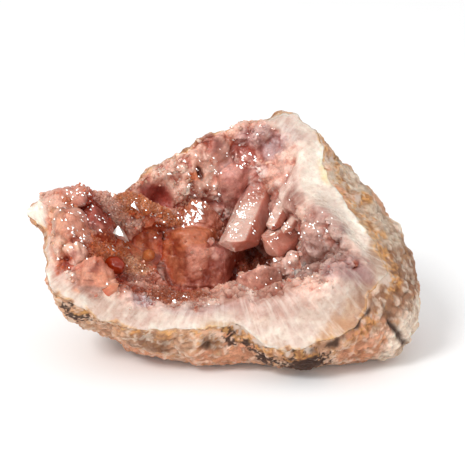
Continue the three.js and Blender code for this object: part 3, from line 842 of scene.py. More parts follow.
def blurred(grid, rounds):   # each round averages a place with its neighbours, weights 1 2 1
    for _ in range(rounds):
        grid = (np.roll(grid, 1, 1) + 2 * grid + np.roll(grid, -1, 1)) / 4
        grid = (np.concatenate([grid[:1], grid[:-1]]) + 2 * grid + np.concatenate([grid[1:], grid[-1:]])) / 4
    return grid


def crystalDistance(points):   # from the sides of the nearest large crystal, in mm
    return np.minimum.reduce([lineDistance(points, toWorld(*root), toWorld(*tip)) - radius
                              for root, tip, radius, *_ in freeCrystals.values()])


def buildLining(settings):
    # the inner skin with the grown crystals in it, pushed out along its normals
    # by the height of its relief; and what the small crystals need to know of it
    turn = np.arange(settings["columns"]) / settings["columns"]
    turns, drops = np.meshgrid(turn, np.linspace(0, 1, settings["rows"] + 1)[:-1] ** 1.05)
    right, up, out = toFace(innerSkin(turns, drops))
    reach = np.linalg.norm(rimAway(turns), axis=-1)
    rimDistance = drops * reach
    grown, own, ownTint, calm = growCrystals(right, up, out)
    grid = toWorld(right, up, out + (grown - out) * smoothStep(0.5, 3, rimDistance))
    normal = gridNormals(grid)
    inward = bandInward(rimDistance, rimAt(turns)[..., 3])
    around = reach.mean() * np.stack([np.cos(turns * math.tau), np.sin(turns * math.tau)])
    flow = np.stack([*around, rimDistance], -1)

    # broken crystals, facets and grains where crystals grow, fibres and chips on the band
    ragged = roughNoise(grid, "zoneEdge")
    rust, bare = (zoneMask(zones, right, up, ragged) for zones in (rustZones, bareZones))
    inside = smoothStep(0.8, 1.6, inward + 0.2 * ragged)
    blocks, facets, grains, chips = (
        facetRelief(grid, settings[kind]) for kind in ("blocks", "facets", "grains", "chips"))
    fibres = settings["fibreHeight"] * roughNoise(flow * np.array([1, 1, 0.3]), "fibres")
    smooth = 1 - 0.8 * np.maximum(bare, calm)
    height = inside * smooth * ((blocks + 0.5 * facets) * (1 - 0.8 * rust) + 0.5 * facets + grains)
    height += (1 - inside) * (fibres + chips) + zoneSum(pitZones, right, up)
    collar = np.clip(crystalDistance(grid), 0, None) / settings["collarWidth"]
    height -= settings["collarDepth"] * np.exp(-(collar**2))
    height *= smoothStep(0, rimForm["calm"], rimDistance)
    shaped = shapeRim(grid + normal * height[..., None], turns, rimDistance)

    # stained along the rim, painted pale on the ridges as painted highlight and painted
    # darker in the crevices as painted shade
    edge = rimDistance + 1.3 * roughNoise(grid, "rimEdge")
    stained = smoothStep(-0.3, 0.3, roughNoise(grid, "rimStain"))
    paint = layered(mixTint(liningPaint(grid, inward), ownTint, 0.5 * own), (
        ("ochre", 0.75 * smoothStep(1.2, 0.2, edge) * stained),
        ("umber", 0.8 * smoothStep(0.3, -0.2, edge) * stained)))
    relief = np.sum((shaped - blurred(shaped, settings["blur"])) * normal, -1)
    paint = mixTint(paintSideLight(paint, gridNormals(shaped), inside), tints["frost"],
                    settings["frost"] * smoothStep(0, 0.5, relief) * inside * (1 - 0.8 * own))
    rusty = smoothStep(0.1, 0.8, zoneSum(stainZones, right, up))
    # painted shade in the crevices: deeper rose, turning orange where stainZones lie
    deep = paint * mixTint(tints["rose"], tints["creviceStainAndShade"], rusty) / tints["rose"].max()
    paint = mixTint(paint, deep, settings["creviceStainAndShade"] * smoothStep(0, -0.5, relief) * (0.3 + 0.7 * inside))
    masks = {
        "paint": paint, "flow": flow, "band": 1 - inside,
        "raised": np.clip(0.5 + (facets + grains + 0.5 * blocks) * 0.5 * inside, 0, 1),
        "flash": flashShare(grid) + 0.1 * inside * (1 - np.maximum(bare, calm)),
    }
    hidden = hiddenBack(turn, settings["hiddenRows"], settings["hiddenDepth"])
    piece = addRings("lining", shaped, hidden, masks, "rose", "rose_druse", True)
    return piece, {
        "smooth": grid, "normal": normal, "shaped": shaped, "inward": inward, "own": own,
        "rust": rust, "bare": bare, "ragged": ragged, "within": smoothStep(4, 6.5, rimDistance),
    }


liningPiece, bed = buildLining(lining)

etching = {
    "columns": 60,             # points round each large crystal
    "rows": 44,
    "facets": (1.1, 0.16, 0.8, 301),   # growth facets on its faces: size, height, steepness, seed
    "waveHeight": 0.14,
    "stepHeight": 0.05,        # growth lines across the sides
    "stepsPerMm": 2.2,
    "ownColour": 0.75,         # how far each takes its own tint, away from the bed
    "paintedLightShare": 0.75,             # painted light: how far the left sides take their pale tint
    # the way that the sides painted with light face
    "litWay": (-0.92, 0, 0.4),
    "frontWay": (0, -0.94, 0.34),
}


def crystalSkin(angle, height, radius, length, slope, share, rounding):
    # distance from the axis: the least, over the six sides, of the side's own
    # distance / cos(angle to it); above the shoulder each side leans in by the
    # slope, and every second one starts higher, by share of half the end
    flat = radius * math.cos(math.pi / 6)
    cut = share * slope * flat * 0.5
    reach = []
    for k in range(6):
        fall = (length + cut * (k % 2) - height) / slope
        bound = softLeast(np.stack(np.broadcast_arrays(flat, fall)), rounding)
        lean = np.cos(angle - math.radians(30 + 60 * k))
        reach.append(np.where(lean > 0.2, bound / np.maximum(lean, 0.2), 99.0))
    return np.maximum(softLeast(np.stack(np.broadcast_arrays(*reach)), rounding), 0.02)


def prismFaces():
    # Faces of a six-sided crystal with 22 corners: 0-5 root, 6-11 shoulder,
    # 12-17 the low corners of the three small end faces, 18-20 their tops, 21 tip
    faces = []
    for k in range(3):
        first, second, third, after = 2 * k, 2 * k + 1, (2 * k + 2) % 6, (k + 1) % 3
        faces.append((12 + k, 15 + k, 18 + k))
        faces.append((first, second, 6 + second, 15 + k, 12 + k, 6 + first))
        faces.append((second, third, 6 + third, 6 + second))
        faces.append((6 + second, 6 + third, 12 + after, 18 + after, 21, 18 + k, 15 + k))
    faces.append((5, 4, 3, 2, 1, 0))
    return faces


def hexagon(radius):   # six corners round the axis of each crystal
    angle = np.radians(60 * np.arange(6))
    return np.stack([np.cos(angle), np.sin(angle), 0 * angle], -1) * radius[:, None, None]


def lifted(height):   # a place on the axis of each crystal
    return np.array([0, 0, 1.0]) * height[:, None, None]


def prismCorners(radius, length, share):
    # in each crystal's own axes, z along it: the end faces are planes that fall
    # by pyramidSlope, three of them through the tip and three cut lower
    flat = radius * math.cos(math.pi / 6)
    endHeight = np.minimum(crystalForm["pyramidSlope"] * flat, length * 0.95)
    slope = endHeight / flat
    cut = share * endHeight * 0.5
    halfWidth = (0.5 * flat - cut / slope) / math.sin(math.pi / 3)
    root = hexagon(radius)
    angle = np.radians([30, 150, 270])
    outward = np.stack([np.cos(angle), np.sin(angle), 0 * angle], -1)
    across = np.stack([-np.sin(angle), np.cos(angle), 0 * angle], -1) * halfWidth[:, None, None]
    low = outward * flat[:, None, None] + lifted(length + cut - endHeight)
    top = outward * (2 * cut / slope)[:, None, None] + lifted(length - cut)
    shoulder = root + lifted(length - endHeight)
    return np.concatenate([root, shoulder, low - across, low + across, top, lifted(length)], 1)


def grainFaces():   # a small six-sided crystal: 0-5 root, 6-11 shoulder, 12 tip
    faces = [(k, (k + 1) % 6, 6 + (k + 1) % 6, 6 + k) for k in range(6)]
    faces += [(6 + k, 6 + (k + 1) % 6, 12) for k in range(6)]
    return faces + [(5, 4, 3, 2, 1, 0)]


def grainCorners(radius, length, lean):
    # root and shoulder rings, and a tip pushed off the axis by lean
    ring = hexagon(radius)
    endHeight = np.minimum(crystalForm["pyramidSlope"] * radius * hexShare, length * 0.8)
    tip = np.concatenate([lean * radius[:, None], length[:, None]], -1)[:, None]
    return np.concatenate([ring, ring + lifted(length - endHeight), tip], 1)


def placeCrystals(local, root, tip, twist, flatness, slant):
    # corners turned by twist, squeezed by flatness, slanted, and set on the axes
    # side, front, along, with front kept towards the open side of the stone; and
    # the share of the way from root to tip that each one lies at
    along, side, front = crystalAxes(root, tip)
    c, s = np.cos(np.radians(twist))[:, None], np.sin(np.radians(twist))[:, None]
    x = local[..., 0] * c - local[..., 1] * s
    y = (local[..., 0] * s + local[..., 1] * c) * flatness[:, None]
    z = local[..., 2] + slant[:, :1] * x + slant[:, 1:] * y
    points = root[:, None] + x[..., None] * side[:, None] + y[..., None] * front[:, None]
    points = points + z[..., None] * along[:, None]
    share = np.clip(local[..., 2] / np.linalg.norm(tip - root, axis=-1)[:, None], 0, 1)
    return toWorld(*np.moveaxis(points, -1, 0)), share


def addCrystals(name, points, faces, masks, slot, smooth=False):
    # one mesh from many copies of the same faces; masks hold a value for each corner of each
    count, corners = points.shape[:2]
    joined = [tuple(k + start for k in one) for start in range(0, count * corners, corners) for one in faces]
    flat = {key: values.reshape(count * corners, *values.shape[2:]) for key, values in masks.items()}
    return addPiece(name, points.reshape(-1, 3), joined, flat, slot, smooth)


def buildLargeCrystals(settings):
    # rings of crystalSkin from root to tip for each free crystal, set on its axes;
    # and the places on the front of the first four
    rows = list(freeCrystals.values())
    root, tip, radius, twist, flatness, slant, slope, rounding = (
        np.array([row[k] for row in rows], float) for k in range(8))
    own, frost = (np.array([tints[row[k]] for row in rows])[:, None, None] for k in (8, 9))
    length = np.linalg.norm(tip - root, axis=-1)
    column = lambda values: values[:, None, None]

    # heights of the rings: even up the sides, closer together near the tip
    shoulder = length - slope * radius * hexShare
    steps = np.linspace(0, 1, settings["rows"])
    onSide = np.minimum(steps / 0.5, 1)
    onEnd = 1 - (1 - np.clip((steps - 0.5) / 0.5, 0, 1)) ** 1.2
    height = column(shoulder) * onSide[:, None] + column(length - shoulder) * 0.995 * onEnd[:, None]
    angle = (np.arange(settings["columns"]) * math.tau / settings["columns"])[None, None]
    reach = crystalSkin(angle, height, column(radius), column(length), column(slope),
                        crystalForm["smallFaceShare"], column(rounding))
    height = np.broadcast_to(height, reach.shape)
    local = np.stack([reach * np.cos(angle), reach * np.sin(angle), height], -1)
    points, share = placeCrystals(local.reshape(len(rows), -1, 3), root, tip, twist, flatness, slant)
    points = points.reshape(local.shape)

    # growth facets, gentle waves and fine lines across the sides
    relief = facetRelief(points, settings["facets"]) + settings["waveHeight"] * roughNoise(points, "waves")
    lineAt = np.stack([height * settings["stepsPerMm"], column(twist) + 0 * height, 0 * height], -1)
    relief += settings["stepHeight"] * softNoise(lineAt, 1.0, 317) * (height < column(shoulder))
    points = points + gridNormals(points) * (relief * smoothStep(0, 0.9, reach))[..., None]

    # the bed's colour at the root, and the left sides painted paler as painted light
    normal = gridNormals(points)
    emerged = smoothStep(0.1, 0.5, share.reshape(reach.shape))
    litSide = smoothStep(-0.2, 0.3, normal @ np.array(settings["litWay"]))
    paint = mixTint(liningPaint(points, 3.0), own, settings["ownColour"] * emerged)
    paint = mixTint(paint, frost, settings["paintedLightShare"] * litSide * emerged)
    poles = np.stack([points[:, 0].mean(1), points[:, -1].mean(1)], 1)
    skins = np.concatenate([points.reshape(len(rows), -1, 3), poles], 1)
    masks = {"paint": paint.reshape(len(rows), -1, 3), "along": share,
             "flash": (flashShare(points) * litSide).reshape(len(rows), -1)}
    masks = {key: np.concatenate([values, values[:, :1], values[:, -1:]], 1) for key, values in masks.items()}
    faces = ringFaces(settings["rows"], settings["columns"])
    forward = normal[:4] @ np.array(settings["frontWay"])
    return addCrystals("largeCrystals", skins, faces, masks, "rose_crystal", True), points[:4][forward > 0.1]


largePiece, spearFront = buildLargeCrystals(etching)

druse = {
    "stretch": (1.2, 3.0),     # length for each mm of radius
    "lean": 0.6,
    "flatness": (0.7, 1),
    "slant": 0.2,
    "endCut": (0.1, 0.7),      # share of the end that every second face of the largest takes
    "tipShift": 0.5,           # radii that the tip of the others is off the axis
    "seed": 7,
}

# The small crystals: how many, radii in mm, how these spread between the two, share
# of the length that is rooted, tones of the bed's colour, share that flash, slot
druseKinds = {
    "mediumCrystals": (90, (0.6, 1.8), (1.3, 2.6), 0.7, (0.95, 1.12), 0.25, "rose_crystal"),
    "roseDruse": (1200, (0.22, 0.75), (1.2, 3.5), 0.45, (0.8, 1.35), 0.05, "rose_druse"),
    "rustDruse": (8000, (0.176, 0.6), (1.2, 3.5), 0.45, (0.8, 1.35), 0.05, "rust_druse"),
}


def pickPlaces(rng, count, density):
    # cells of the bed drawn by area * density, then a random spot in each cell
    grid = bed["shaped"]
    a, b = grid[:-1], np.roll(grid, -1, 1)[:-1]
    c, d = grid[1:], np.roll(grid, -1, 1)[1:]
    halves = np.cross(b - a, c - a), np.cross(b - d, c - d)
    weight = (np.linalg.norm(halves, axis=-1).sum(0) * density[:-1]).ravel()
    cell = rng.choice(weight.size, count, p=weight / weight.sum())
    u, v = rng.random((2, count, 1))
    pull = lambda values: values.reshape(-1, *values.shape[2:])[cell]
    place = (pull(a) * (1 - u) + pull(b) * u) * (1 - v) + (pull(c) * (1 - u) + pull(d) * u) * v
    return place, *(pull(bed[key][:-1]) for key in ("normal", "smooth", "inward"))


def standing(rng, place, normal, radius, settings, sink):
    # lengths, roots, tips, twists, flatnesses and slants of crystals that stand on
    # the bed and lean at random from its normal
    count = len(place)
    along = unit(normal + settings["lean"] * rng.normal(size=(count, 3))) @ faceAxes.T
    length = radius * rng.uniform(*settings["stretch"], count)
    root = toFace(place).T - along * (length * sink)[:, None]
    tip = root + along * length[:, None]
    twist, flatness = rng.uniform(0, 60, count), rng.uniform(*settings["flatness"], count)
    return length, root, tip, twist, flatness, rng.normal(0, settings["slant"], (count, 2))


def druseDensities():   # how thickly each of the three kinds stands
    inside = smoothStep(0.9, 1.6, bed["inward"] + 0.2 * bed["ragged"]) * (1 - 0.9 * bed["own"])
    patchy = smoothStep(-0.2, 0.5, roughNoise(bed["smooth"], "patchy"))
    rust = bed["rust"] * inside
    rose = inside * (1 - bed["rust"]) * (1 - bed["bare"]) * (0.1 + 0.9 * patchy)
    return (rose + 0.3 * rust) * bed["within"] * smoothStep(1.4, 2.0, bed["inward"]), rose, rust


def buildDruse(settings, kinds):   # small crystals at random places, in tones of the bed's colour there
    rng = np.random.default_rng(settings["seed"])
    pieces = []
    for (name, kind), density in zip(kinds.items(), druseDensities()):
        count, radii, spread, sink, tones, flashing, slot = kind
        place, normal, smooth, inward = pickPlaces(rng, count, density)
        radius = radii[0] + (radii[1] - radii[0]) * rng.beta(*spread, count)
        length, *pose = standing(rng, place, normal, radius, settings, sink)
        if name == "mediumCrystals":
            faces, local = prismFaces(), prismCorners(radius, length, rng.uniform(*settings["endCut"], count))
        else:
            shift = settings["tipShift"] * rng.uniform(-1, 1, (count, 2))
            faces, local = grainFaces(), grainCorners(radius, length, shift)
        points, share = placeCrystals(local, *pose)
        masks = {"paint": liningPaint(smooth, inward) * rng.uniform(*tones, (count, 1)),
                 "flash": (rng.random(count) < flashing) * 1.0}
        masks = {key: np.repeat(values[:, None], points.shape[1], 1) for key, values in masks.items()}
        pieces.append(addCrystals(name, points, faces, masks | {"along": share}, slot))
    return pieces


# Flat crystal ends that catch the light: right, up, radius, twist
mirrors = (
    (-24.6, 4.0, 0.7, 40), (-22.6, 10.1, 1.1, 0), (-21.9, 9.6, 0.7, 30), (-27.7, 11.4, 0.6, 0),
    (-33.2, 10.5, 0.6, 20), (-29.8, 8.2, 0.5, 0), (-24.6, 8.0, 0.45, 0), (10.0, -1.6, 1.0, 15),
    (12.6, -1.5, 0.7, 45), (-6.5, 13.4, 1.1, 5), (-8.8, 11.6, 0.8, 30), (-7.6, 10.4, 0.8, 20),
    (-9.6, 10.2, 0.6, 15), (-10.5, 9.4, 0.6, 0), *((-12.3, 11.2 + 0.8 * k, 0.3, 0) for k in range(5)),
    (-10.5, 25.5, 0.6, 0), (-14.5, 22.6, 0.6, 30), (-21.5, 19.9, 0.5, 0), (-19.5, 20.6, 0.5, 10),
    (-7.9, 19.6, 0.6, 0), (-3.0, 21.5, 0.5, 0), (-4.2, 31.4, 0.7, 20), (2.0, 31.9, 0.7, 0),
    (6.2, 28.8, 0.6, 10), (4.2, 25.6, 0.7, 40), (7.8, 26.2, 0.6, 0), (14.4, 9.2, 0.6, 0),
    (18.0, 5.8, 0.5, 10), (21.5, 3.6, 0.5, 0), (24.5, 2.2, 0.5, 30), (16.0, -2.4, 0.5, 0),
    (-12.5, -14.6, 0.7, 0), (-8.4, -13.2, 0.5, 20), (-16.4, -12.2, 0.5, 0), (-30.2, 2.4, 0.5, 0),
    (-37.0, 4.4, 0.5, 20), (-34.8, -1.0, 0.5, 0),
)

# and where many small ones lie: right, up, spread right, spread up, count, radii
mirrorClusters = {
    "crown": (-8.5, 12.0, 2.2, 1.6, 28, (0.2, 0.5)), "crownTip": (-6.7, 12.4, 1.0, 1.8, 26, (0.25, 0.6)),
    "steps": (5, 27.4, 3.0, 1.2, 12, (0.25, 0.5)), "topEdge": (4, 31.5, 5, 1.0, 10, (0.2, 0.45)),
    "backWall": (-12, 24, 7, 4, 26, (0.2, 0.5)), "shelf": (-21, 9.5, 7, 2.4, 36, (0.18, 0.42)),
    "front": (-12, -12, 7, 2.2, 26, (0.18, 0.42)), "floor": (-26, 1, 4, 4, 20, (0.18, 0.4)),
    "left": (-36, 6, 4.5, 5, 64, (0.12, 0.36)), "leftLow": (-36, -4, 4, 4, 34, (0.15, 0.4)),
    "knuckles": (19, 2, 5, 3.5, 22, (0.15, 0.35)), "besideSpear": (14, 14, 2.5, 5, 12, (0.18, 0.45)),
    "frontRight": (14, -8, 10, 3, 24, (0.15, 0.35)), "roughPale": (-3, 23, 2, 5, 16, (0.15, 0.4)),
}

# The same on the faces of the spear
spearMirrors = [(6.9 + 0.1 * k, 5.4 + 0.9 * k, radius, 0)
                for k, radius in enumerate((0.35, 0.35, 0.35, 0.3, 0.25))]
spearClusters = {
    "upper": (4.2, 11.8, 1.3, 2.2, 30, (0.12, 0.4)), "lower": (2.4, 5.3, 1.4, 1.8, 20, (0.12, 0.32)),
    "shaft": (6.5, 16, 1.5, 3, 14, (0.1, 0.3)), "side": (12.6, 9.2, 0.9, 1.8, 16, (0.12, 0.35)),
    "broad": (12.3, 3.5, 1.5, 1.6, 8, (0.12, 0.3)), "splinter": (15.6, 5.8, 0.7, 1.4, 12, (0.12, 0.35)),
}

mirrorForm = {
    "tallOne": (-26.2, 4.4, 1.9, 10),   # one that stands clear of the bed
    "tall": 2.8,               # mm
    "seed": 5,
    "aim": (-156, -496, 375),  # the point they all face
    "scatter": 0.015,
    "narrow": 0.55,            # every second corner, which makes them nearly triangular
    "sink": (1.2, 1.5, 2.5),   # mm of root, more for each mm of radius, and the most
    "rise": 0.5,               # mm above the bed for each mm of radius, and again for its square
    "bevel": 0.02,             # mm that the end rises in the middle for each mm of radius
    "spread": 0.7,             # of a cluster's spread
    "stray": 0.2,              # mm from the nearest place of the surface
    "farthest": 1,             # mm from it that is still used
}


def mirrorPlaces(rng, single, clusters, surface):
    # where each one stands on a surface, with its radius and twist: the single
    # ones, and those of the clusters, normally spread about their middles
    rows = [np.array(single, float)]
    for middleX, middleY, spreadX, spreadY, count, radii in clusters.values():
        right = middleX + mirrorForm["spread"] * spreadX * rng.normal(size=count)
        up = middleY + mirrorForm["spread"] * spreadY * rng.normal(size=count)
        rows.append(np.stack([right, up, rng.uniform(*radii, count), rng.uniform(0, 60, count)], -1))
    right, up, radius, twist = np.concatenate(rows).T
    flat = toFace(surface.reshape(-1, 3)).T
    apart = (flat[:, :1] - right) ** 2 + (flat[:, 1:2] - up) ** 2
    stray = mirrorForm["stray"] * rng.normal(size=(len(right), 3)) * np.array([1, 1, 0])
    found = np.column_stack([flat[np.argmin(apart, axis=0)] + stray, radius, twist])
    return found[apart.min(0) < mirrorForm["farthest"] ** 2]


def buildMirrors(settings):   # short crystals in the bed and the spear, all facing up to the left, painted white as painted glints
    rng = np.random.default_rng(settings["seed"])
    insideRim = bed["shaped"][bed["within"] > 0]
    onBed = mirrorPlaces(rng, mirrors, mirrorClusters, insideRim)
    onSpear = mirrorPlaces(rng, spearMirrors, spearClusters, spearFront)
    tall = mirrorPlaces(rng, [settings["tallOne"]], {}, insideRim) + np.array([0, 0, settings["tall"], 0, 0])
    rows = np.concatenate([onBed, onSpear, tall])
    place, radius, twist = rows[:, :3], rows[:, 3], rows[:, 4]
    way = unit(toFace(np.array(settings["aim"], float)) - place)
    way = way + settings["scatter"] * rng.normal(size=way.shape)
    least, growth, most = settings["sink"]
    root = place - way * np.minimum(most, least + growth * radius)[:, None]
    tip = place + way * (settings["rise"] * radius * (1 + radius))[:, None]
    length = np.linalg.norm(tip - root, axis=-1)
    upright = np.zeros((len(radius), 2))
    local = grainCorners(radius, length, upright)
    local[:, 6:12, 2] = (length - settings["bevel"] * radius)[:, None]
    local[:, 1:12:2, :2] *= settings["narrow"]
    points, share = placeCrystals(local, root, tip, twist, 0.6 + 0.3 * (twist % 7) / 7, upright)
    # painted glint: every mirror is painted white, so it reads as a glint whether or not it catches the key
    # light
    glintWhite = np.broadcast_to(tints["glintWhite"], points.shape)
    masks = {"paint": glintWhite, "along": share * 0 + 1, "flash": share * 0}
    return addCrystals("mirrorCrystals", points, grainFaces(), masks, "rose_crystal")


drusePieces = buildDruse(druse, druseKinds)
mirrorPiece = buildMirrors(mirrorForm)


def link(tree, value, socket):   # a socket is wired in, anything else is set
    if isinstance(value, bpy.types.NodeSocket):
        tree.links.new(value, socket)
    else:
        socket.default_value = value


def addNode(tree, kind, inputs=None, **settings):   # settings are set on the node before its inputs
    node = tree.nodes.new(kind)
    for key, value in settings.items():
        setattr(node, key, value)
    for key, value in (inputs or {}).items():
        link(tree, value, node.inputs[key])
    return node


def mathNode(tree, operation, *values):   # one sum, product or other operation on numbers
    return addNode(tree, "ShaderNodeMath", dict(enumerate(values)), operation=operation).outputs[0]


def vectorNode(tree, operation, inputs):   # the same on vectors
    return addNode(tree, "ShaderNodeVectorMath", inputs, operation=operation).outputs[0]


def noiseNode(tree, place, scale, detail, roughness=0.5):   # scale for each metre
    inputs = {"Vector": place, "Scale": scale, "Detail": detail, "Roughness": roughness}
    return addNode(tree, "ShaderNodeTexNoise", inputs).outputs


def bumpNode(tree, strength, distance, height):   # a normal tilted by height * distance
    inputs = {"Strength": strength, "Distance": distance, "Height": height}
    return addNode(tree, "ShaderNodeBump", inputs).outputs["Normal"]


def rangeNode(tree, value, low, high, to=(0, 1)):   # value from low to high becomes to[0] to to[1]
    inputs = {"Value": value, "From Min": low, "From Max": high, "To Min": to[0], "To Max": to[1]}
    return addNode(tree, "ShaderNodeMapRange", inputs, clamp=True).outputs["Result"]


def mixColours(tree, share, first, second, blend="MIX"):   # first + (blend of both - first) * share
    return addNode(tree, "ShaderNodeMix", {0: share, 6: first, 7: second},
                   data_type="RGBA", blend_type=blend).outputs[2]


def glaze(tree, colour, layers):
    # a colour multiplied by others in turn, each as far as its value has gone from
    # low to high, and at most by the share most
    for other, value, low, high, most in layers:
        colour = mixColours(tree, rangeNode(tree, value, low, high, (0, most)), colour, other, "MULTIPLY")
    return colour


def readMask(tree, name, output="Fac"):   # an attribute of the mesh
    return addNode(tree, "ShaderNodeAttribute", attribute_name=name).outputs[output]


def newGroup(name, inputs, outputs):   # inputs and outputs: the kind of each named socket
    tree = bpy.data.node_groups.new(name, "ShaderNodeTree")
    for way, sockets in (("INPUT", inputs), ("OUTPUT", outputs)):
        for label, kind in sockets.items():
            tree.interface.new_socket(label, in_out=way, socket_type=f"NodeSocket{kind}")
    return tree, tree.nodes.new("NodeGroupInput").outputs, tree.nodes.new("NodeGroupOutput").inputs


def useGroup(tree, group, **inputs):   # the group placed once, with its own values
    return addNode(tree, "ShaderNodeGroup", inputs, node_tree=group).outputs


quartz = {
    "leftEnd": (-0.25, -0.79, 0.56),   # the way the flashing chips lean
    "chipScale": 1900.0,       # for each metre
    "chipBend": (1500.0, 0.0004),   # scale of the noise that bends their outlines, and m
    "chipTones": (0.82, 1.12),
    # painted glint: how far each chip's colour goes to white
    "chipGlintWhite": 0.15,
    "chipMetal": 0.2,
    "chipRough": 0.12,
    "clumpScale": 500.0,
    "milky": (1.22, 1.4, 1.45, 1),
    "bedScales": (260.0, 900.0),
    "bedBump": (0.4, 0.0002),  # strength, and depth in m
    "bedRough": 0.2,
    "bedScatter": 0.35,
    "bedDepth": 0.0016,        # m that light goes in
    "threadFlow": (0.8, 0.8, 0.14),   # scale of the pale threads round, and in from, the rim
    "threadPale": 0.35,
    "crystalScale": 300.0,
    "crystalBump": (0.15, 0.0001),
    "crystalDepth": 0.0025,
    "depthColours": (1.0, 0.45, 0.35),
    "refraction": 1.48,
}


def flashGroup():
    # chips like small mirrors: cells whose random number is under Amount, each
    # with a tilt of its own, and drawn by Lean to the side of the stone's left end
    tree, given, result = newGroup("flashingChips", {
        "Place": "Vector", "Normal": "Vector", "Scale": "Float", "Tilt": "Float", "Amount": "Float",
        "Lean": "Float"}, {"Normal": "Vector", "Chip": "Float", "Tone": "Float"})
    scale, most = quartz["chipBend"]
    bend = noiseNode(tree, given["Place"], scale, 2.0)["Color"]
    bent = vectorNode(tree, "SCALE", {0: bend, "Scale": most})
    moved = vectorNode(tree, "ADD", {0: given["Place"], 1: bent})
    cells = addNode(tree, "ShaderNodeTexVoronoi", {"Vector": moved, "Scale": given["Scale"]}).outputs["Color"]
    split = addNode(tree, "ShaderNodeSeparateColor", {"Color": cells}).outputs
    chip = mathNode(tree, "LESS_THAN", split["Red"], given["Amount"])
    centred = vectorNode(tree, "SUBTRACT", {0: cells, 1: (0.5, 0.5, 0.5)})
    tilt = mathNode(tree, "MULTIPLY", given["Tilt"], mathNode(tree, "MULTIPLY_ADD", chip, 0.7, 0.3))
    lean = mathNode(tree, "MULTIPLY", given["Lean"], chip)
    leant = addNode(tree, "ShaderNodeMix", {0: lean, 4: given["Normal"], 5: quartz["leftEnd"]},
                    data_type="VECTOR").outputs[1]
    total = vectorNode(tree, "ADD", {0: leant, 1: vectorNode(tree, "SCALE", {0: centred, "Scale": tilt})})
    link(tree, vectorNode(tree, "NORMALIZE", {0: total}), result["Normal"])
    link(tree, chip, result["Chip"])
    link(tree, split["Green"], result["Tone"])
    return tree


def veilGroup():   # milky clouds in the quartz and a fine grain
    tree, given, result = newGroup("milkyVeils", {"Place": "Vector", "Scale": "Float"},
                                   {"Clouds": "Float", "Grain": "Float"})
    clouds = noiseNode(tree, given["Place"], given["Scale"], 5.0, 0.6)["Fac"]
    link(tree, rangeNode(tree, clouds, 0.42, 0.68), result["Clouds"])
    grain = noiseNode(tree, given["Place"], mathNode(tree, "MULTIPLY", given["Scale"], 8.0), 4.0, 0.65)["Fac"]
    link(tree, grain, result["Grain"])
    return tree


flashing = flashGroup()
veils = veilGroup()


def newMaterial(name):   # with its shader and the places on the object
    material = bpy.data.materials.new(name)
    material.use_nodes = True
    tree = material.node_tree
    where = addNode(tree, "ShaderNodeTexCoord").outputs["Object"]
    return material, tree, tree.nodes["Principled BSDF"], where


def setShader(tree, shader, **inputs):   # values and links, with the spaces in names written as _
    for key, value in inputs.items():
        link(tree, value, shader.inputs[key.replace("_", " ")])


def rgba(name, gain=1.0):   # tint * gain
    return (*(tints[name] * gain), 1)


rock = {
    "scales": (200.0, 600.0),  # coarse and fine clouds, for each metre
    "lighter": (1.3, 1.36, 1.42, 1),
    "darker": (0.5, 0.4, 0.3, 1),
    "rough": (0.7, 0.4),       # outside the clouds and in them
    "bump": (0.8, 0.0005),     # strength, and depth in m
    "scatter": 0.3,
    "depth": 0.0015,           # m that light goes in
    "depthColours": (1.0, 0.5, 0.35),
}


def rindMaterial():   # mottled, stained rock, darker in its low places as painted shade, and plain where the pale band reaches over the rim
    material, tree, shader, where = newMaterial("rindRock")
    paint = readMask(tree, "paint", "Vector")
    coarse, fine = (useGroup(tree, veils, Place=where, Scale=scale) for scale in rock["scales"])
    colour = glaze(tree, paint, (
        (rock["lighter"], coarse["Clouds"], 0, 1, 1),
        (rgba("ochre"), fine["Clouds"], 0.2, 1, 0.35),
        (rock["darker"], fine["Grain"], 0.6, 0.7, 0.7),
        (rock["lighter"], fine["Grain"], 0.4, 0.3, 1),
        # painted shade: darker in the low places
        (rock["darker"], readMask(tree, "low"), 0.2, 0.9, 0.3),
    ))
    height = mathNode(tree, "MULTIPLY_ADD", coarse["Grain"], 1.2, fine["Grain"])
    setShader(tree, shader, Base_Color=mixColours(tree, readMask(tree, "pale"), colour, paint),
              Roughness=rangeNode(tree, coarse["Clouds"], 0, 1, rock["rough"]),
              Normal=bumpNode(tree, *rock["bump"], height), Subsurface_Weight=rock["scatter"],
              Subsurface_Radius=rock["depthColours"], Subsurface_Scale=rock["depth"])
    return material


def finishQuartz(tree, shader, where, colour, normal, chips, toned, rough, tilt, lean, **inputs):
    # shared end of the quartz materials: flashing chips over a glassy colour, each chip's
    # colour lifted toward white as a painted glint
    clumps = noiseNode(tree, where, quartz["clumpScale"], 3.0)["Fac"]
    amount = mathNode(tree, "MULTIPLY", readMask(tree, "flash"), rangeNode(tree, clumps, 0.45, 0.65, chips))
    chip = useGroup(tree, flashing, Place=where, Normal=normal, Scale=quartz["chipScale"], Tilt=tilt,
                    Amount=amount, Lean=lean)
    tone = rangeNode(tree, chip["Tone"], 0, 1, quartz["chipTones"])
    colour = mixColours(tree, toned, colour, tone, "MULTIPLY")
    glintWhitened = mathNode(tree, "MULTIPLY", chip["Chip"], quartz["chipGlintWhite"])
    setShader(tree, shader, Base_Color=mixColours(tree, glintWhitened, colour, rgba("glintWhite")),
              Normal=chip["Normal"], Metallic=mathNode(tree, "MULTIPLY", chip["Chip"], quartz["chipMetal"]),
              Roughness=rangeNode(tree, chip["Chip"], 0, 1, (rough, quartz["chipRough"])),
              Subsurface_Radius=quartz["depthColours"], **inputs)


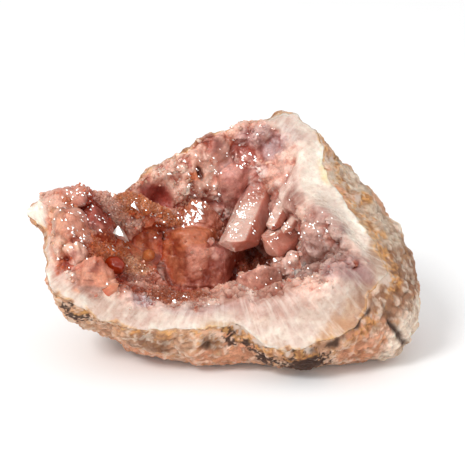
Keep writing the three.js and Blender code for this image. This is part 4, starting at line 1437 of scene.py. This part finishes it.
def liningMaterial():   # milky quartz, darker wine in its low places as painted shade, with pale threads across the band
    material, tree, shader, where = newMaterial("milkyRoseQuartz")
    band = readMask(tree, "band")
    coarse, fine = (useGroup(tree, veils, Place=where, Scale=scale) for scale in quartz["bedScales"])
    colour = glaze(tree, readMask(tree, "paint", "Vector"), (
        # painted shade: low places of the relief multiplied towards wine
        (rgba("wine", 1.3), readMask(tree, "raised"), 0.5, 0.1, 0.6),
        (quartz["milky"], coarse["Clouds"], 0.2, 1, 0.9),
        (rgba("deepRose"), fine["Clouds"], 0.2, 1, 0.25),
    ))
    flow = {"Vector": readMask(tree, "flow", "Vector"), "Scale": quartz["threadFlow"]}
    threads = noiseNode(tree, addNode(tree, "ShaderNodeMapping", flow).outputs[0], 1.0, 4.0)["Fac"]
    thread = mathNode(tree, "MULTIPLY", rangeNode(tree, threads, 0.48, 0.66, (0, quartz["threadPale"])), band)
    colour = mixColours(tree, thread, colour, rgba("chalk"))
    normal = bumpNode(tree, *quartz["bedBump"], mathNode(tree, "ADD", fine["Grain"], coarse["Grain"]))
    toned = mathNode(tree, "MULTIPLY_ADD", band, -0.8, 0.9)
    finishQuartz(tree, shader, where, colour, normal, (0, 0.8), toned, quartz["bedRough"], 0.9, 0.45,
                 IOR=quartz["refraction"], Subsurface_Weight=quartz["bedScatter"],
                 Subsurface_Scale=quartz["bedDepth"])
    return material


def crystalMaterial(name, clear, scatter, rough, tilt, lean, toned, chips, refraction):
    # cloudy quartz, redder towards the root
    material, tree, shader, where = newMaterial(name)
    cloudy = useGroup(tree, veils, Place=where, Scale=quartz["crystalScale"])
    colour = glaze(tree, readMask(tree, "paint", "Vector"), (
        (rgba("deepRose", 1.6), readMask(tree, "along"), 0.5, 0.0, 0.6),
        (quartz["milky"], cloudy["Clouds"], 0.2, 1, 0.9),
    ))
    normal = bumpNode(tree, *quartz["crystalBump"], cloudy["Grain"])
    finishQuartz(tree, shader, where, colour, normal, chips, toned, rough, tilt, lean,
                 IOR=refraction, Transmission_Weight=clear, Subsurface_Weight=scatter,
                 Subsurface_Scale=quartz["crystalDepth"])
    return material


rindPiece.data.materials.append(rindMaterial())
liningPiece.data.materials.append(liningMaterial())

# Materials of the crystals: clearness, scattering, roughness, tilt and lean of the
# chips, how much they tone the colour, how many there are, refraction
crystalKinds = {
    "roseCrystal": (0.15, 0.5, 0.1, 0.65, 0.85, 0.6, (0.2, 1), quartz["refraction"]),
    "smallRoseCrystal": (0.1, 0.6, 0.08, 0.5, 0.3, 0.5, (0, 0.6), quartz["refraction"]),
    "roseGrains": (0, 0.5, 0.1, 0.3, 0.3, 0.5, (1, 1), quartz["refraction"]),
    "rustGrains": (0, 0.3, 0.1, 0.3, 0.3, 0.5, (1, 1), quartz["refraction"]),
    "brightCrystal": (0, 0.2, 0.1, 0, 0, 0, (0, 0), 1.7),
}
for (name, kind), piece in zip(crystalKinds.items(), (largePiece, *drusePieces, mirrorPiece)):
    piece.data.materials.append(crystalMaterial(name, *kind))
print("geode: materials set")

studio = {
    "floorHalf": 2.5,          # m
    "floorTone": 0.95,
    "floorRough": 0.9,
    "world": 0.84,
    "lit": (0, 0, 0.03),       # the point both lights face
}

# Lights: place in m, diameter in m, power in W
lights = {
    "key": ((-0.75, -0.85, 1.15), 0.52, 12.5),
    "fill": ((0.35, -1.3, 0.25), 0.8, 3),
}


def addStudio(settings):   # a level floor, two round lamps and an even white sky
    half = settings["floorHalf"]
    mesh = bpy.data.meshes.new("floor")
    corners = (-half, -half, 0), (half, -half, 0), (half, half, 0), (-half, half, 0)
    mesh.from_pydata(corners, [], [(0, 1, 2, 3)])
    floor = addObject("floor", mesh)
    material, tree, shader, _ = newMaterial("floorPaper")
    setShader(tree, shader, Base_Color=(*(settings["floorTone"],) * 3, 1), Roughness=settings["floorRough"])
    mesh.materials.append(material)
    for name, (place, size, power) in lights.items():
        light = bpy.data.lights.new(name, "AREA")
        light.shape, light.size, light.energy = "DISK", size, power
        addObject(name, light, place, settings["lit"])
    world = bpy.data.worlds.new("studio")
    world.use_nodes = True
    background = world.node_tree.nodes["Background"].inputs
    background["Color"].default_value = (1, 1, 1, 1)
    background["Strength"].default_value = settings["world"]
    bpy.context.scene.world = world
    bpy.context.scene.view_settings.view_transform = "Standard"


addStudio(studio)
print("geode: floor and light set")
